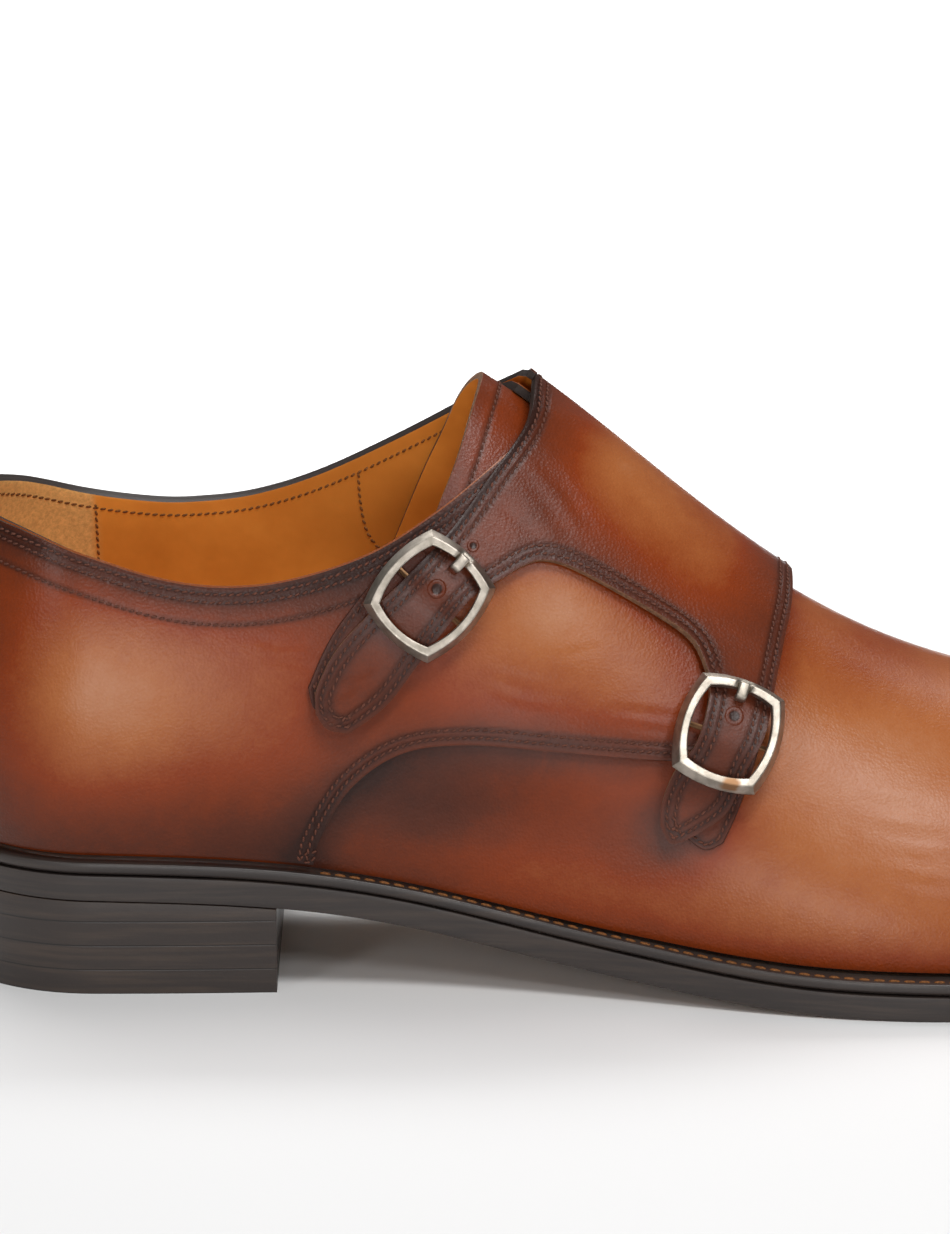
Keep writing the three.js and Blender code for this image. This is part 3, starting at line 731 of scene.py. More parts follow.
@dataclass(frozen=True)
class CalfFinish:
    """Hand-burnished calf: pale at the middle of each panel, dark at seams and edges."""

    name: str
    stops: Tuple[Tuple[float, Colour], ...]
    roughness: float
    wax: float
    matt_roughness: float = 0.28
    pore_roughness: float = 0.16
    # how much darker a sewn row's hollow is painted, as its shade
    groove_dark: float = 0.2
    clouds: Grain = Grain(38.0, 4.0, 0.55, 0.17)
    mottle: Grain = Grain(210.0, 3.0, 0.6, 0.13)
    specks: Grain = Grain(1700.0, 2.0, 0.6, 0.1)
    pores: Grain = Grain(2900.0, 2.0, 0.65, 0.4)
    pebbles: Grain = Grain(760.0, 2.0, 0.5, 0.7)
    folds: Grain = Grain(330.0, 3.0, 0.6, 3.0)
    polish: Grain = Grain(90.0, 3.0, 0.5, 0.14)
    cells: float = 1700.0
    cell_height: float = 0.8
    relief_mm: float = 0.12
    groove_mm: float = 0.18

    def material(self) -> bpy.types.Material:
        """Builds the material. It reads tone, groove (1 under a sewn row), wrinkle and matt.

        Returns:
            The material.
        """
        g = Graph(self.name)
        groove, matt = g.attribute("groove"), g.attribute("matt")
        # Painted shade in the hollow under each sewn row
        tone = g.attribute("tone") - groove * self.groove_dark
        for grain in (self.clouds, self.mottle, self.specks):
            tone = tone + g.sway(grain)
        inputs = {"Vector": g.place(), "Scale": self.cells}
        cells = g.node("ShaderNodeTexVoronoi", {"feature": "F1"}, inputs)
        pores = g.noise(self.pores)
        folds = g.sway(self.folds, g.stretched(0.22, 1.0, 1.0)) * g.attribute("wrinkle")
        height = cells * self.cell_height + pores * self.pores.amount
        height = height + g.noise(self.pebbles) * self.pebbles.amount + folds
        rough = self.roughness + matt * self.matt_roughness
        rough = rough + g.sway(self.polish) + (pores - 0.5) * self.pore_roughness
        return g.surface(
            Base_Color=g.ramp(tone, self.stops), Roughness=rough,
            Normal=g.bump(height, self.relief_mm, 0.6, g.bump(1 - groove, self.groove_mm, 0.9)),
            Coat_Weight=(1 - matt) * self.wax, Coat_Roughness=0.28, Specular_IOR_Level=0.19,
        )


@dataclass(frozen=True)
class EdgeFinish:
    """Cut edges of the leather: raw and brown, or inked black."""

    name: str
    raw: Colour
    ink: Colour
    fibres: Grain = Grain(900.0, 4.0, 0.7)
    patches: Grain = Grain(260.0, 3.0, 0.5, 0.5)

    def material(self) -> bpy.types.Material:
        """Builds the material. It reads ink, 1 where the edge is painted.

        Returns:
            The material.
        """
        g = Graph(self.name)
        fibres = g.noise(self.fibres)
        raw = g.blend(fibres.step(0.3, 0.75), rgba(self.raw, 0.45), rgba(self.raw))
        inked = (g.attribute("ink") + g.sway(self.patches)).step(0.35, 0.65)
        return g.surface(
            Base_Color=g.blend(inked, raw, rgba(self.ink)), Roughness=0.75 - inked * 0.3,
            Normal=g.bump(fibres, 0.08, 0.6), Specular_IOR_Level=0.2,
        )


@dataclass(frozen=True)
class LiningFinish:
    """Vegetable-tanned lining, with a rough suede grip in the heel."""

    name: str
    pale: Colour
    deep: Colour
    suede: Colour
    clouds: Grain = Grain(30.0, 5.0, 0.6)
    nap: Grain = Grain(1100.0, 4.0, 0.75)
    pores: Grain = Grain(1900.0, 2.0, 0.6)

    def material(self) -> bpy.types.Material:
        """Builds the material. It reads suede, 1 on the grip, and painted shade, 1 deep in the throat.

        Returns:
            The material.
        """
        g = Graph(self.name)
        clouds, nap, share = g.noise(self.clouds), g.noise(self.nap), g.attribute("suede")
        smooth = g.blend(clouds.step(0.32, 0.68), rgba(self.deep), rgba(self.pale))
        # Painted shade: the lining turns towards its deep colour deep in the throat
        smooth = g.blend(g.attribute("worn") * 0.6, smooth, rgba(self.deep, 0.6))
        napped = g.blend(nap.step(0.25, 0.8), rgba(self.suede, 0.62), rgba(self.suede))
        height = g.noise(self.pores) * (1 - share) * 0.35 + nap * share
        rough = 0.5 + share * 0.42 + (clouds - 0.5) * 0.15
        return g.surface(
            Base_Color=g.blend(share, smooth, napped), Roughness=rough,
            Normal=g.bump(height, 0.09, 0.6), Specular_IOR_Level=0.35,
        )


@dataclass(frozen=True)
class ThreadFinish:
    """Waxed sewing thread."""

    name: str
    colour: Colour
    twist: Grain = Grain(2200.0, 3.0, 0.6)

    def material(self) -> bpy.types.Material:
        """Builds the material.

        Returns:
            The material.
        """
        g = Graph(self.name)
        twist = g.noise(self.twist)
        return g.surface(
            Base_Color=g.blend(twist.step(0.3, 0.7), rgba(self.colour, 0.45), rgba(self.colour)),
            Roughness=0.55 + twist * 0.2, Normal=g.bump(twist, 0.05, 0.5), Specular_IOR_Level=0.15,
        )


@dataclass(frozen=True)
class NickelFinish:
    """Satin antique nickel, darker in cloudy patches; warm where rubbed, and as painted shade under a
    strap.
    """

    name: str
    pale: Colour
    deep: Colour
    warm: Colour
    clouds: Grain = Grain(260.0, 4.0, 0.6)
    brushing: Grain = Grain(700.0, 3.0, 0.7)

    def material(self) -> bpy.types.Material:
        """Builds the material. It reads 1 on rubbed spots, and on the bar and posts as painted shade.

        Returns:
            The material.
        """
        g = Graph(self.name)
        clouds = g.noise(self.clouds)
        lines = g.noise(self.brushing, g.stretched(1.0, 1.0, 5.0))
        tint = g.blend(clouds.step(0.35, 0.7), rgba(self.deep), rgba(self.pale))
        # Warm where it is rubbed, and warm brown as painted shade on the bar and posts
        worn = (g.attribute("rub") + (clouds - 0.5) * 0.9).step(0.55, 0.85)
        return g.surface(
            Base_Color=g.blend(worn, tint, rgba(self.warm)), Metallic=1.0,
            Roughness=0.33 + lines * 0.16 + worn * 0.1, Normal=g.bump(lines, 0.02, 0.35),
        )


@dataclass(frozen=True)
class SoleFinish:
    """Dyed and waxed sole leather, with lines between layers of some thickness, or none at 0."""

    name: str
    colour: Colour
    # the colour of the worn streaks
    worn: Colour
    roughness: float
    layer_mm: float = 0.0
    streaks: Grain = Grain(160.0, 5.0, 0.6)
    fibres: Grain = Grain(900.0, 3.0, 0.65)

    def material(self) -> bpy.types.Material:
        """Builds the material.

        Returns:
            The material.
        """
        g = Graph(self.name)
        streaks = g.noise(self.streaks, g.stretched(0.25, 0.25, 5.0))
        colour = g.blend(streaks.step(0.4, 0.72), rgba(self.colour), rgba(self.worn))
        fibres = g.noise(self.fibres)
        height = fibres * 0.4
        if self.layer_mm:
            half = self.layer_mm * MM / 2
            z = g.node("ShaderNodeSeparateXYZ", {}, {0: g.place()}, 2)
            saw = g.node("ShaderNodeMath", {"operation": "PINGPONG"}, {0: z, 1: half})
            line = (saw * (1 / half)).step(0.0, 0.1)
            colour = g.blend(line, rgba(self.colour, 0.3), colour)
            height = height + line * 0.8
        return g.surface(
            Base_Color=colour, Roughness=self.roughness + (fibres - 0.5) * 0.2,
            Normal=g.bump(height, 0.1, 0.5),
        )


BURNISHED = CalfFinish(
    "burnished_calf",
    (
        (0.0, (0.024, 0.007, 0.004)), (0.25, (0.082, 0.017, 0.006)), (0.5, (0.188, 0.028, 0.003)),
        (0.75, (0.305, 0.092, 0.024)), (1.0, (0.385, 0.175, 0.088)),
    ),
    roughness=0.33, wax=0.12,
)
CUT_EDGE = EdgeFinish("cut_edge", (0.26, 0.135, 0.075), (0.020, 0.012, 0.009))
LINING = LiningFinish("lining_leather", (0.74, 0.275, 0.039), (0.56, 0.185, 0.022), (0.88, 0.475, 0.15))
LEATHER = (BURNISHED, CUT_EDGE, LINING)
DARK_THREAD = ThreadFinish("dark_thread", (0.13, 0.047, 0.030))
LINING_THREAD = ThreadFinish("lining_thread", (0.22, 0.085, 0.025))
NICKEL = NickelFinish("antique_nickel", (0.52, 0.465, 0.40), (0.30, 0.265, 0.22), (0.30, 0.165, 0.085))
SOLE_EDGE = SoleFinish("sole_edge", (0.022, 0.016, 0.014), (0.04, 0.028, 0.022), roughness=0.42)
HEEL_STACK = SoleFinish(
    "heel_stack", (0.026, 0.018, 0.015), (0.045, 0.03, 0.022), roughness=0.4, layer_mm=5.2,
)
TREAD = SoleFinish("sole_tread", (0.30, 0.17, 0.09), (0.22, 0.12, 0.06), roughness=0.6)


class Finishes:
    """Each material, made once."""

    def __init__(self) -> None:
        """Builds the materials."""
        threads, soles = (DARK_THREAD, LINING_THREAD), (SOLE_EDGE, HEEL_STACK, TREAD)
        everything = (*LEATHER, *threads, NICKEL, *soles)
        self.made = {finish.name: finish.material() for finish in everything}

    def get(self, *finishes: object) -> List[bpy.types.Material]:
        """Returns the materials of some finishes."""
        return [self.made[finish.name] for finish in finishes]


@dataclass(frozen=True)
class Shade:
    """A soft patch in the side view: its middle, its reach, and how far it moves the tone."""

    x: float
    z: float
    reach_x: float
    reach_z: float
    amount: float

    def share(self, points: Array) -> Array:
        """Returns how much of the patch lies on each point, up to 1."""
        x, z = (points[:, 0] - self.x) / self.reach_x, (points[:, 2] - self.z) / self.reach_z
        return np.exp(-(x * x) - z * z)


@dataclass(frozen=True)
class Crease:
    """A soft fold in the leather: its line in the side view, half its width, and its depth."""

    line: Tuple[Row, ...]
    width: float
    depth: float
    swell: float = 0.42  # of its depth
    swell_at: float = 1.9  # times its half width
    bluntness: float = 0.8

    def rise(self, points: Array, steps: int = 48) -> Array:
        """Works out the fold's relief, a trough with a low swell on both sides.

        Args:
            points: points on the shoe.
            steps: how many points of its line are measured from.

        Returns:
            How far each point moves off the shoe.
        """
        line = even(flow(self.line), steps)
        off = np.linalg.norm(points[:, None, (0, 2)] - line[None], axis=2)
        taper = np.sin(math.pi * (off.argmin(1) + 0.5) / steps) ** self.bluntness
        d = off.min(1) / self.width
        return self.depth * taper * (self.swell * fade(d - self.swell_at, 1.0) - fade(d, 1.0))


# Folds and worn places
CREASES: Tuple[Crease, ...] = (
    Crease(((114.5, 67.5), (124, 65.5), (134, 65.8)), 0.9, 0.12),
    Crease(((113.5, 64.5), (122, 61.6), (133, 61.2)), 0.9, 0.11),
    Crease(((116, 71.0), (125, 70.2), (137, 71.5)), 0.8, 0.09),
    Crease(((135, 60.2), (145, 59.0), (153, 57.8)), 0.9, 0.15),
    Crease(((137, 57.5), (146, 56.0), (153, 55.4)), 0.8, 0.13),
    Crease(((67, 74.5), (73, 73.0), (79, 74.2)), 0.9, 0.12),
    Crease(((69, 70.5), (75, 69.8), (80, 68.0)), 0.9, 0.1),
    Crease(((119, 106), (125, 100), (131, 92.5)), 1.3, 0.2),
    Crease(((121.5, 109), (128.5, 102), (135, 93)), 1.3, 0.16),
    Crease(((116, 99), (121, 95), (126, 91)), 1.1, 0.18),
    Crease(((84, 67), (88.5, 66.5), (92, 68.5)), 1.0, 0.2),
    Crease(((82.5, 62.8), (86, 63.2), (89, 66)), 0.9, 0.2),
    Crease(((190, 37), (198, 35), (207, 34.4)), 1.2, 0.2),
    Crease(((192, 32.8), (200, 30.6), (208, 30.2)), 1.2, 0.2),
    Crease(((188, 41.5), (196, 40.2), (205, 39.8)), 1.1, 0.14),
    Crease(((193, 28.6), (200, 26.6), (207, 26.0)), 1.1, 0.16),
)
WRINKLED: Tuple[Shade, ...] = (
    Shade(122, 66, 16, 8, 0.5), Shade(146, 58, 10, 6, 0.7), Shade(73, 72, 8, 6, 0.6),
    Shade(126, 99, 9, 9, 0.6), Shade(199, 33, 12, 9, 0.7), Shade(86, 66, 8, 8, 0.6),
    Shade(160, 44, 8, 10, 0.4),
)
# Where the wax isn't polished
MATT: Tuple[Shade, ...] = (
    Shade(122, 42, 34, 11, 1.0), Shade(90, 62, 22, 12, 0.9), Shade(62, 40, 18, 10, 0.7),
    Shade(160, 46, 8, 13, 0.6),
)


def creased(points: Array, normals: Array) -> Array:
    """Folds a grid of points on the lateral side.

    Args:
        points: the grid.
        normals: the way out at each point.

    Returns:
        The moved grid.
    """
    flat = points.reshape(-1, 3)
    rise = sum(fold.rise(flat) for fold in CREASES)
    rise = np.where(flat[:, 1] < 0.0, rise, 0.0).reshape(points.shape[:2])
    return points + normals * rise[..., None]


@dataclass(frozen=True)
class Patina:
    """The tone of one piece: 0 for the darkest brown and 1 for the palest."""

    base: float
    shades: Tuple[Shade, ...] = ()
    edge_dark: float = 0.0
    edge_reach: float = 6.0
    foot_dark: float = 0.0
    foot_reach: float = 12.0
    far_shades: Tuple[Shade, ...] = ()
    far_start: float = 12.0

    def tone(self, points: Array, edge: Array) -> Array:
        """Works out the tone of some points.

        Args:
            points: the points.
            edge: the way from each to the nearest edge of its piece.

        Returns:
            One tone each.
        """
        tone = np.full(len(points), self.base)
        for shade in self.shades:
            tone += shade.amount * shade.share(points)
        far = smoothstep(0.0, self.far_start, points[:, 1])
        for shade in self.far_shades:
            tone += shade.amount * shade.share(points) * far
        tone -= self.edge_dark * fade(edge, self.edge_reach)
        station = LAST.station(np.clip(points[:, 0], HEEL_CENTRE, LAST_LENGTH - 1))
        over = points[:, 2] - LAST.size["feather"](station)
        return tone - self.foot_dark * fade(np.maximum(over, 0.0), self.foot_reach)


class Piece:
    """A mesh that is built up from grids and closed shapes, then placed as one object."""

    def __init__(self, name: str) -> None:
        """Starts an empty mesh.

        Args:
            name: the object's name.
        """
        self.name = name
        self.bm = bmesh.new()
        self.object: Optional[bpy.types.Object] = None

    def grid(self, points: Array) -> None:
        """Lays a grid, which faces the way of its columns crossed with its rows.

        Args:
            points: the grid's points, rows by columns.
        """
        rows, columns = points.shape[:2]
        counts = {"x_segments": columns - 1, "y_segments": rows - 1}
        made = bmesh.ops.create_grid(self.bm, size=1.0, **counts)["verts"]
        spots = (points - ORIGIN) * MM
        for vertex in made:
            column = round((vertex.co.x + 1) / 2 * (columns - 1))
            row = round((vertex.co.y + 1) / 2 * (rows - 1))
            vertex.co = spots[row, column]

    def sew(self) -> None:
        """Merges the vertices where grids meet."""
        bmesh.ops.remove_doubles(self.bm, verts=self.bm.verts, dist=2e-6)

    def pack(self) -> None:
        """Puts the vertices in order, with none of the gaps that an operator leaves."""
        mesh = bpy.data.meshes.new(self.name)
        self.bm.to_mesh(mesh)
        self.bm.clear()
        self.bm.from_mesh(mesh)
        bpy.data.meshes.remove(mesh)

    def copies(self, template_size: int, count: int) -> None:
        """Repeats a closed shape.

        Args:
            template_size: how many vertices the shape has.
            count: how many copies there are in the end.
        """
        while len(self.bm.verts) < template_size * count:
            room = template_size * count - len(self.bm.verts)
            self.bm.verts.ensure_lookup_table()
            chosen = set(self.bm.verts[:room])
            faces = [f for f in self.bm.faces if all(v in chosen for v in f.verts)]
            edges = {e for f in faces for e in f.edges}
            bmesh.ops.duplicate(self.bm, geom=[*self.bm.verts[:room], *edges, *faces])

    def place(
        self, materials: Sequence[bpy.types.Material], slot: str, nodes: Sequence[str] = (),
    ) -> None:
        """Turns the mesh into an object of the shoe.

        Args:
            materials: its materials, in the order of its faces' numbers.
            slot: the record's material slot; not used.
            nodes: the solids that it stands for.
        """
        mesh = bpy.data.meshes.new(self.name)
        self.bm.to_mesh(mesh)
        self.bm.free()
        mesh.polygons.foreach_set("use_smooth", np.ones(len(mesh.polygons), bool))
        self.object = bpy.data.objects.new(self.name, mesh)
        bpy.context.collection.objects.link(self.object)
        for material in materials:
            mesh.materials.append(material)
        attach(self.object, "root")
        if nodes:
            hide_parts(*nodes)
        log.info("%s: %d vertices", self.name, len(mesh.vertices))

    def points(self) -> Array:
        """Reads the placed mesh's vertices.

        Returns:
            Their places in millimetres on the last.
        """
        flat = np.empty(3 * len(self.object.data.vertices), np.float32)
        self.object.data.vertices.foreach_get("co", flat)
        return flat.reshape(-1, 3).astype(float) / MM + ORIGIN

    def carry(self, name: str, values: Array) -> None:
        """Gives the mesh a number for each vertex, for its material to read."""
        layer = self.object.data.attributes.new(name, "FLOAT", "POINT")
        layer.data.foreach_set("value", np.asarray(values, np.float32))

    def dress(self, tone: Array, ink: Union[float, Array], rows: Sequence[Array] = ()) -> None:
        """Gives a sheet of leather what its materials read.

        Args:
            tone: the patina.
            ink: how far the edges are painted.
            rows: the rows of sewing on it.
        """
        count = len(tone)
        p = self.points()
        for name, shades in (("wrinkle", WRINKLED), ("matt", MATT)):
            share = sum(shade.amount * shade.share(p) for shade in shades)
            self.carry(name, np.where(p[:, 1] < LATERAL_END, share, 0.0))
        self.carry("tone", tone)
        self.carry("ink", np.broadcast_to(ink, count))
        groove = np.zeros(count)
        if rows:
            groove = fade(nearness(p, rows), GROOVE)
        self.carry("groove", groove)

    def thicken(self, thickness: float, soften: float) -> None:
        """Gives a sheet of leather its thickness, inwards, and rounds its edges.

        Args:
            thickness: of the leather.
            soften: radius of its edges.
        """
        wall = self.object.modifiers.new("thickness", "SOLIDIFY")
        wall.thickness = thickness * MM
        wall.offset = -1.0
        wall.material_offset = LEATHER.index(LINING)
        wall.material_offset_rim = LEATHER.index(CUT_EDGE)
        self.round_edges(soften, 3)

    def round_edges(self, radius: float, segments: int, angle: float = 50.0) -> None:
        """Rounds sharp edges.

        Args:
            radius: of the edges.
            segments: steps round them.
            angle: the least turn, in degrees, that counts as sharp.
        """
        bevel = self.object.modifiers.new("edges", "BEVEL")
        bevel.width = radius * MM
        bevel.segments = segments
        bevel.limit_method = "ANGLE"
        bevel.angle_limit = math.radians(angle)
        bevel.profile = 0.5
        bevel.material = -1


def nearness(points: Array, lines: Sequence[Array]) -> Array:
    """Finds the way from points to the nearest of some lines.

    Args:
        points: where to measure.
        lines: each a row of close points.

    Returns:
        One distance for each point.
    """
    every = np.vstack(lines)
    tree = KDTree(len(every))
    for i, p in enumerate(every):
        tree.insert(p, i)
    tree.balance()
    return np.array([tree.find(p)[2] for p in points])


def coons(left: Array, right: Array, top: Array, bottom: Array) -> Array:
    """Fills a patch between four edges.

    Args:
        left: its left edge from the top down.
        right: its right edge from the top down.
        top: its top edge from left to right.
        bottom: its bottom edge from left to right.

    Returns:
        A grid of points, rows from the top down.
    """
    v = np.linspace(0.0, 1.0, len(left))[:, None, None]
    u = np.linspace(0.0, 1.0, len(top))[None, :, None]
    across = (1 - u) * left[:, None] + u * right[:, None]
    down = (1 - v) * top[None] + v * bottom[None]
    corners = (1 - v) * ((1 - u) * top[0] + u * top[-1]) + v * ((1 - u) * bottom[0] + u * bottom[-1])
    return across + down - corners


def inset(line: Array, lift: Union[float, Lift], way: float) -> Array:
    """Moves a line of stations and places sideways over a sheet.

    Args:
        line: (station, place across) rows.
        lift: the sheet's height over the last.
        way: how far, to the left of the line's run as seen from outside.

    Returns:
        The moved rows.
    """
    s, a = line[:, 0], line[:, 1]
    e = 0.01
    here = LAST.skin(s, a, lift)
    by_s = (LAST.skin(s + e, a, lift) - here) / e
    by_a = (LAST.skin(s, a + e / 10, lift) - here) / (e / 10)
    run = np.gradient(here, axis=0)
    run /= np.maximum(np.linalg.norm(run, axis=1, keepdims=True), 1e-9)
    move = np.cross(LAST.normal(s, a), run) * way
    ss, aa = (by_s * by_s).sum(1), (by_a * by_a).sum(1)
    sa = (by_s * by_a).sum(1)
    ms, ma = (move * by_s).sum(1), (move * by_a).sum(1)
    det = np.maximum(ss * aa - sa * sa, 1e-9)
    return np.stack([s + (ms * aa - ma * sa) / det, a + (ma * ss - ms * sa) / det], axis=1)


class Stitching:
    """Sewing of one thread: every row that is marked, made as one piece."""

    LENGTH = 1.22
    HALF_WIDTH = 0.27
    HALF_HEIGHT = 0.21
    PITCH = 1.55
    SLANT = 0.3  # each stitch's turn from its row, in radians
    BLUNT = 0.7
    ARCH = 0.06
    PROUD = 0.02

    def __init__(self, name: str, finish: ThreadFinish, slot: str) -> None:
        """Starts with no rows.

        Args:
            name: the object's name.
            finish: the thread's material.
            slot: the record's material slot.
        """
        self.name = name
        self.finish = finish
        self.slot = slot
        self.spots: List[Tuple[Array, Array, Array]] = []

    def row(self, line: Array, lift: Union[float, Lift], way: float, inner: bool = False) -> Array:
        """Marks a row of stitches beside a line.

        Args:
            line: (station, place across) rows.
            lift: the sheet's height over the last.
            way: how far from the line, to the left of its run as seen from outside.
            inner: whether the row lies on the sheet's inner face.

        Returns:
            The row's points in space.
        """
        fine = even(line, 900)
        moved = inset(fine, lift, way) if way else fine
        p = LAST.skin(moved[:, 0], moved[:, 1], lift)
        n = LAST.normal(moved[:, 0], moved[:, 1])
        return self.mark(p, -n if inner else n, self.PITCH, self.SLANT)

    def mark(self, points: Array, normals: Array, pitch: float, slant: float = 0.0) -> Array:
        """Marks a row along points in space.

        Args:
            points: the row's line.
            normals: the way off the sheet at each.
            pitch: from one stitch to the next.
            slant: each stitch's turn from the row, in radians.

        Returns:
            The middles of the stitches.
        """
        count = max(2, round(run_of(points)[-1] / pitch))
        spots = even_by(np.hstack([points, normals]), points, count)
        p, n = spots[:, :3], unit(spots[:, 3:])
        run = unit(np.gradient(p, axis=0))
        turned = run * math.cos(slant) + np.cross(n, run) * math.sin(slant)
        self.spots.append((p, turned, n))
        return p

    def build(self, finishes: Finishes, length: float = LENGTH, girth: float = 1.0) -> None:
        """Makes every stitch.

        Args:
            finishes: the materials.
            length: of one stitch.
            girth: how many times as thick as usual.
        """
        piece = Piece(self.name)
        bmesh.ops.create_uvsphere(piece.bm, u_segments=6, v_segments=5, radius=1.0)
        piece.pack()
        shape = np.array([v.co for v in piece.bm.verts])[:, (2, 0, 1)]
        shape[:, 0] = np.sign(shape[:, 0]) * np.abs(shape[:, 0]) ** self.BLUNT
        shape = shape * (length / 2, self.HALF_WIDTH * girth, self.HALF_HEIGHT * girth)
        p, run, n = (np.vstack(parts) for parts in zip(*self.spots))
        piece.copies(len(shape), len(p))
        axes = np.stack([run, np.cross(n, run), n], axis=1)
        shape[:, 2] += self.ARCH * (1 - (2 * shape[:, 0] / length) ** 2) + self.PROUD
        every = np.einsum("vk,skc->svc", shape, axes) + p[:, None]
        spots = ((every - ORIGIN) * MM).reshape(-1, 3)
        for vertex, spot in zip(piece.bm.verts, spots):
            vertex.co = spot
        bmesh.ops.recalc_face_normals(piece.bm, faces=piece.bm.faces)
        piece.place(finishes.get(self.finish), self.slot)


def even_by(values: Array, points: Array, count: int) -> Array:
    """Takes values at equal steps of the length of the points they belong to.

    Args:
        values: one row for each point.
        points: the points.
        count: how many rows to return.

    Returns:
        count rows.
    """
    way = run_of(points)
    at = (np.arange(count) + 0.5) / count * way[-1]
    return np.stack([np.interp(at, way, values[:, k]) for k in range(values.shape[1])], axis=1)


def from_ridge(line: Array) -> Array:
    """Drops what an outline has above the ridge, so that it starts on it.

    Args:
        line: (station, place across) rows.

    Returns:
        The rows that are left.
    """
    over = np.nonzero(np.abs(line[:, 1]) < 2e-4)[0]
    line = line[over[-1] if len(over) else 0 :].copy()
    line[0, 1] = 0.0
    return line


def split(line: Array, outline: Array, at: Row) -> Tuple[Array, Array]:
    """Cuts a line in two beside a point of the side view.

    Args:
        line: (station, place across) rows.
        outline: the same rows' points in space.
        at: the point.

    Returns:
        The two parts, which share the cut.
    """
    near = int(np.argmin(np.linalg.norm(outline[:, (0, 2)] - np.array(at), axis=1)))
    return line[: near + 1], line[near:]


@dataclass
class UpperShell:
    """Vamp, heel part and lining: one wall, open at the collar and underneath."""

    columns: int = 230
    rows: int = 64
    patina: Patina = Patina(
        0.66,
        (
            Shade(188, 46, 24, 20, 0.17), Shade(100, 41, 25, 14, -0.52), Shade(138, 40, 20, 12, -0.12),
            Shade(286, 28, 24, 22, -0.42), Shade(240, 46, 30, 22, 0.06), Shade(148, 32, 18, 10, -0.2),
            Shade(196, 66, 18, 9, -0.2),
        ),
        edge_dark=0.3, edge_reach=5.0, foot_dark=0.22, foot_reach=6.0,
    )
    heel_share: float = 0.78
    rim_end: float = 118.0
    rim_row: float = 3.0
    grip_front: float = 32.5
    grip_blur: float = 0.3
    # Where the lining is painted darker, as the shade deep in the throat
    worn: Shade = Shade(96, 84, 24, 20, 1.0)
    lateral_drop: float = 9.0
    lining_seams: Tuple[Tuple[Row, ...], ...] = (
        ((32.6, 87.0), (32.8, 78.0), (33.4, 62.0), (34.5, 46.0)),
        ((87.0, 95.0), (87.4, 88.0), (89.0, 81.0), (93.0, 76.5), (100.0, 74.0)),
    )

    def stations(self) -> Array:
        """Spaces the grid's columns.

        Returns:
            Their stations, closer at the toe.
        """
        heel = np.linspace(0.0, LAST.toe_station, int(self.columns * self.heel_share), endpoint=False)
        toe = np.linspace(LAST.toe_station, LAST.end, self.columns - len(heel))
        return np.concatenate([heel, toe])

    def sew_lining(self, sewing: Stitching, side: Side, top: Array, s: Array) -> None:
        """Marks the lining's sewing on one side.

        Args:
            sewing: where it goes.
            side: the side of the foot.
            top: the places across of the topline.
            s: its stations.
        """
        shown = s < LAST.station(self.rim_end)
        rim = np.stack([s[shown], side.value * top[shown]], axis=1)
        sewing.row(rim, -WALL, self.rim_row * side.value, inner=True)
        drop = (0.0, self.lateral_drop if side is Side.LATERAL else 0.0)
        for seam in self.lining_seams:
            sewing.row(LAST.seat(flow(seam) - drop, -WALL, side), -WALL, 0.0, inner=True)

    def build(self, finishes: Finishes, seams: Sequence[Array], sewing: Stitching) -> None:
        """Makes the wall.

        Args:
            finishes: the materials.
            seams: lines in space beside which the tone is dark: seams, and straps' edges as painted
                shadow.
            sewing: where the lining's rows go.
        """
        piece = Piece("upper_wall")
        s = self.stations()
        share = np.linspace(0.0, 1.0, self.rows)[:, None]
        for side, line in ((Side.LATERAL, LATERAL_TOPLINE), (Side.MEDIAL, MEDIAL_TOPLINE)):
            top = np.abs(LAST.trim(s, side, 0.0, flow(line)))
            across = side.value * (1 + share * (top - 1))
            wide = np.broadcast_to(s, across.shape)
            rows = creased(LAST.skin(wide, across), LAST.normal(wide, across))
            piece.grid(rows if side is Side.LATERAL else rows[::-1])
            self.sew_lining(sewing, side, top, s)
        piece.sew()
        piece.place(finishes.get(*LEATHER), "brown_leather", ["upper"])
        p = piece.points()
        piece.dress(self.patina.tone(p, nearness(p, seams)), 1.0)
        grip_end = smoothstep(self.grip_front - self.grip_blur, self.grip_front + self.grip_blur, p[:, 0])
        piece.carry("suede", 1 - grip_end)
        piece.carry("worn", self.worn.share(p))
        piece.thicken(WALL, 0.35)


def quarter_foot(front: Sequence[Row]) -> Array:
    """Draws a quarter's lower line, out of reach behind its seam so that the feather line ends it there.

    Args:
        front: the seam's rows in front of those that both sides share.

    Returns:
        The line's points in the side view.
    """
    seam = flow([*QUARTER_SEAM, *front])
    return np.vstack([[(-100, -50), (seam[0, 0] - 0.1, -50)], seam])


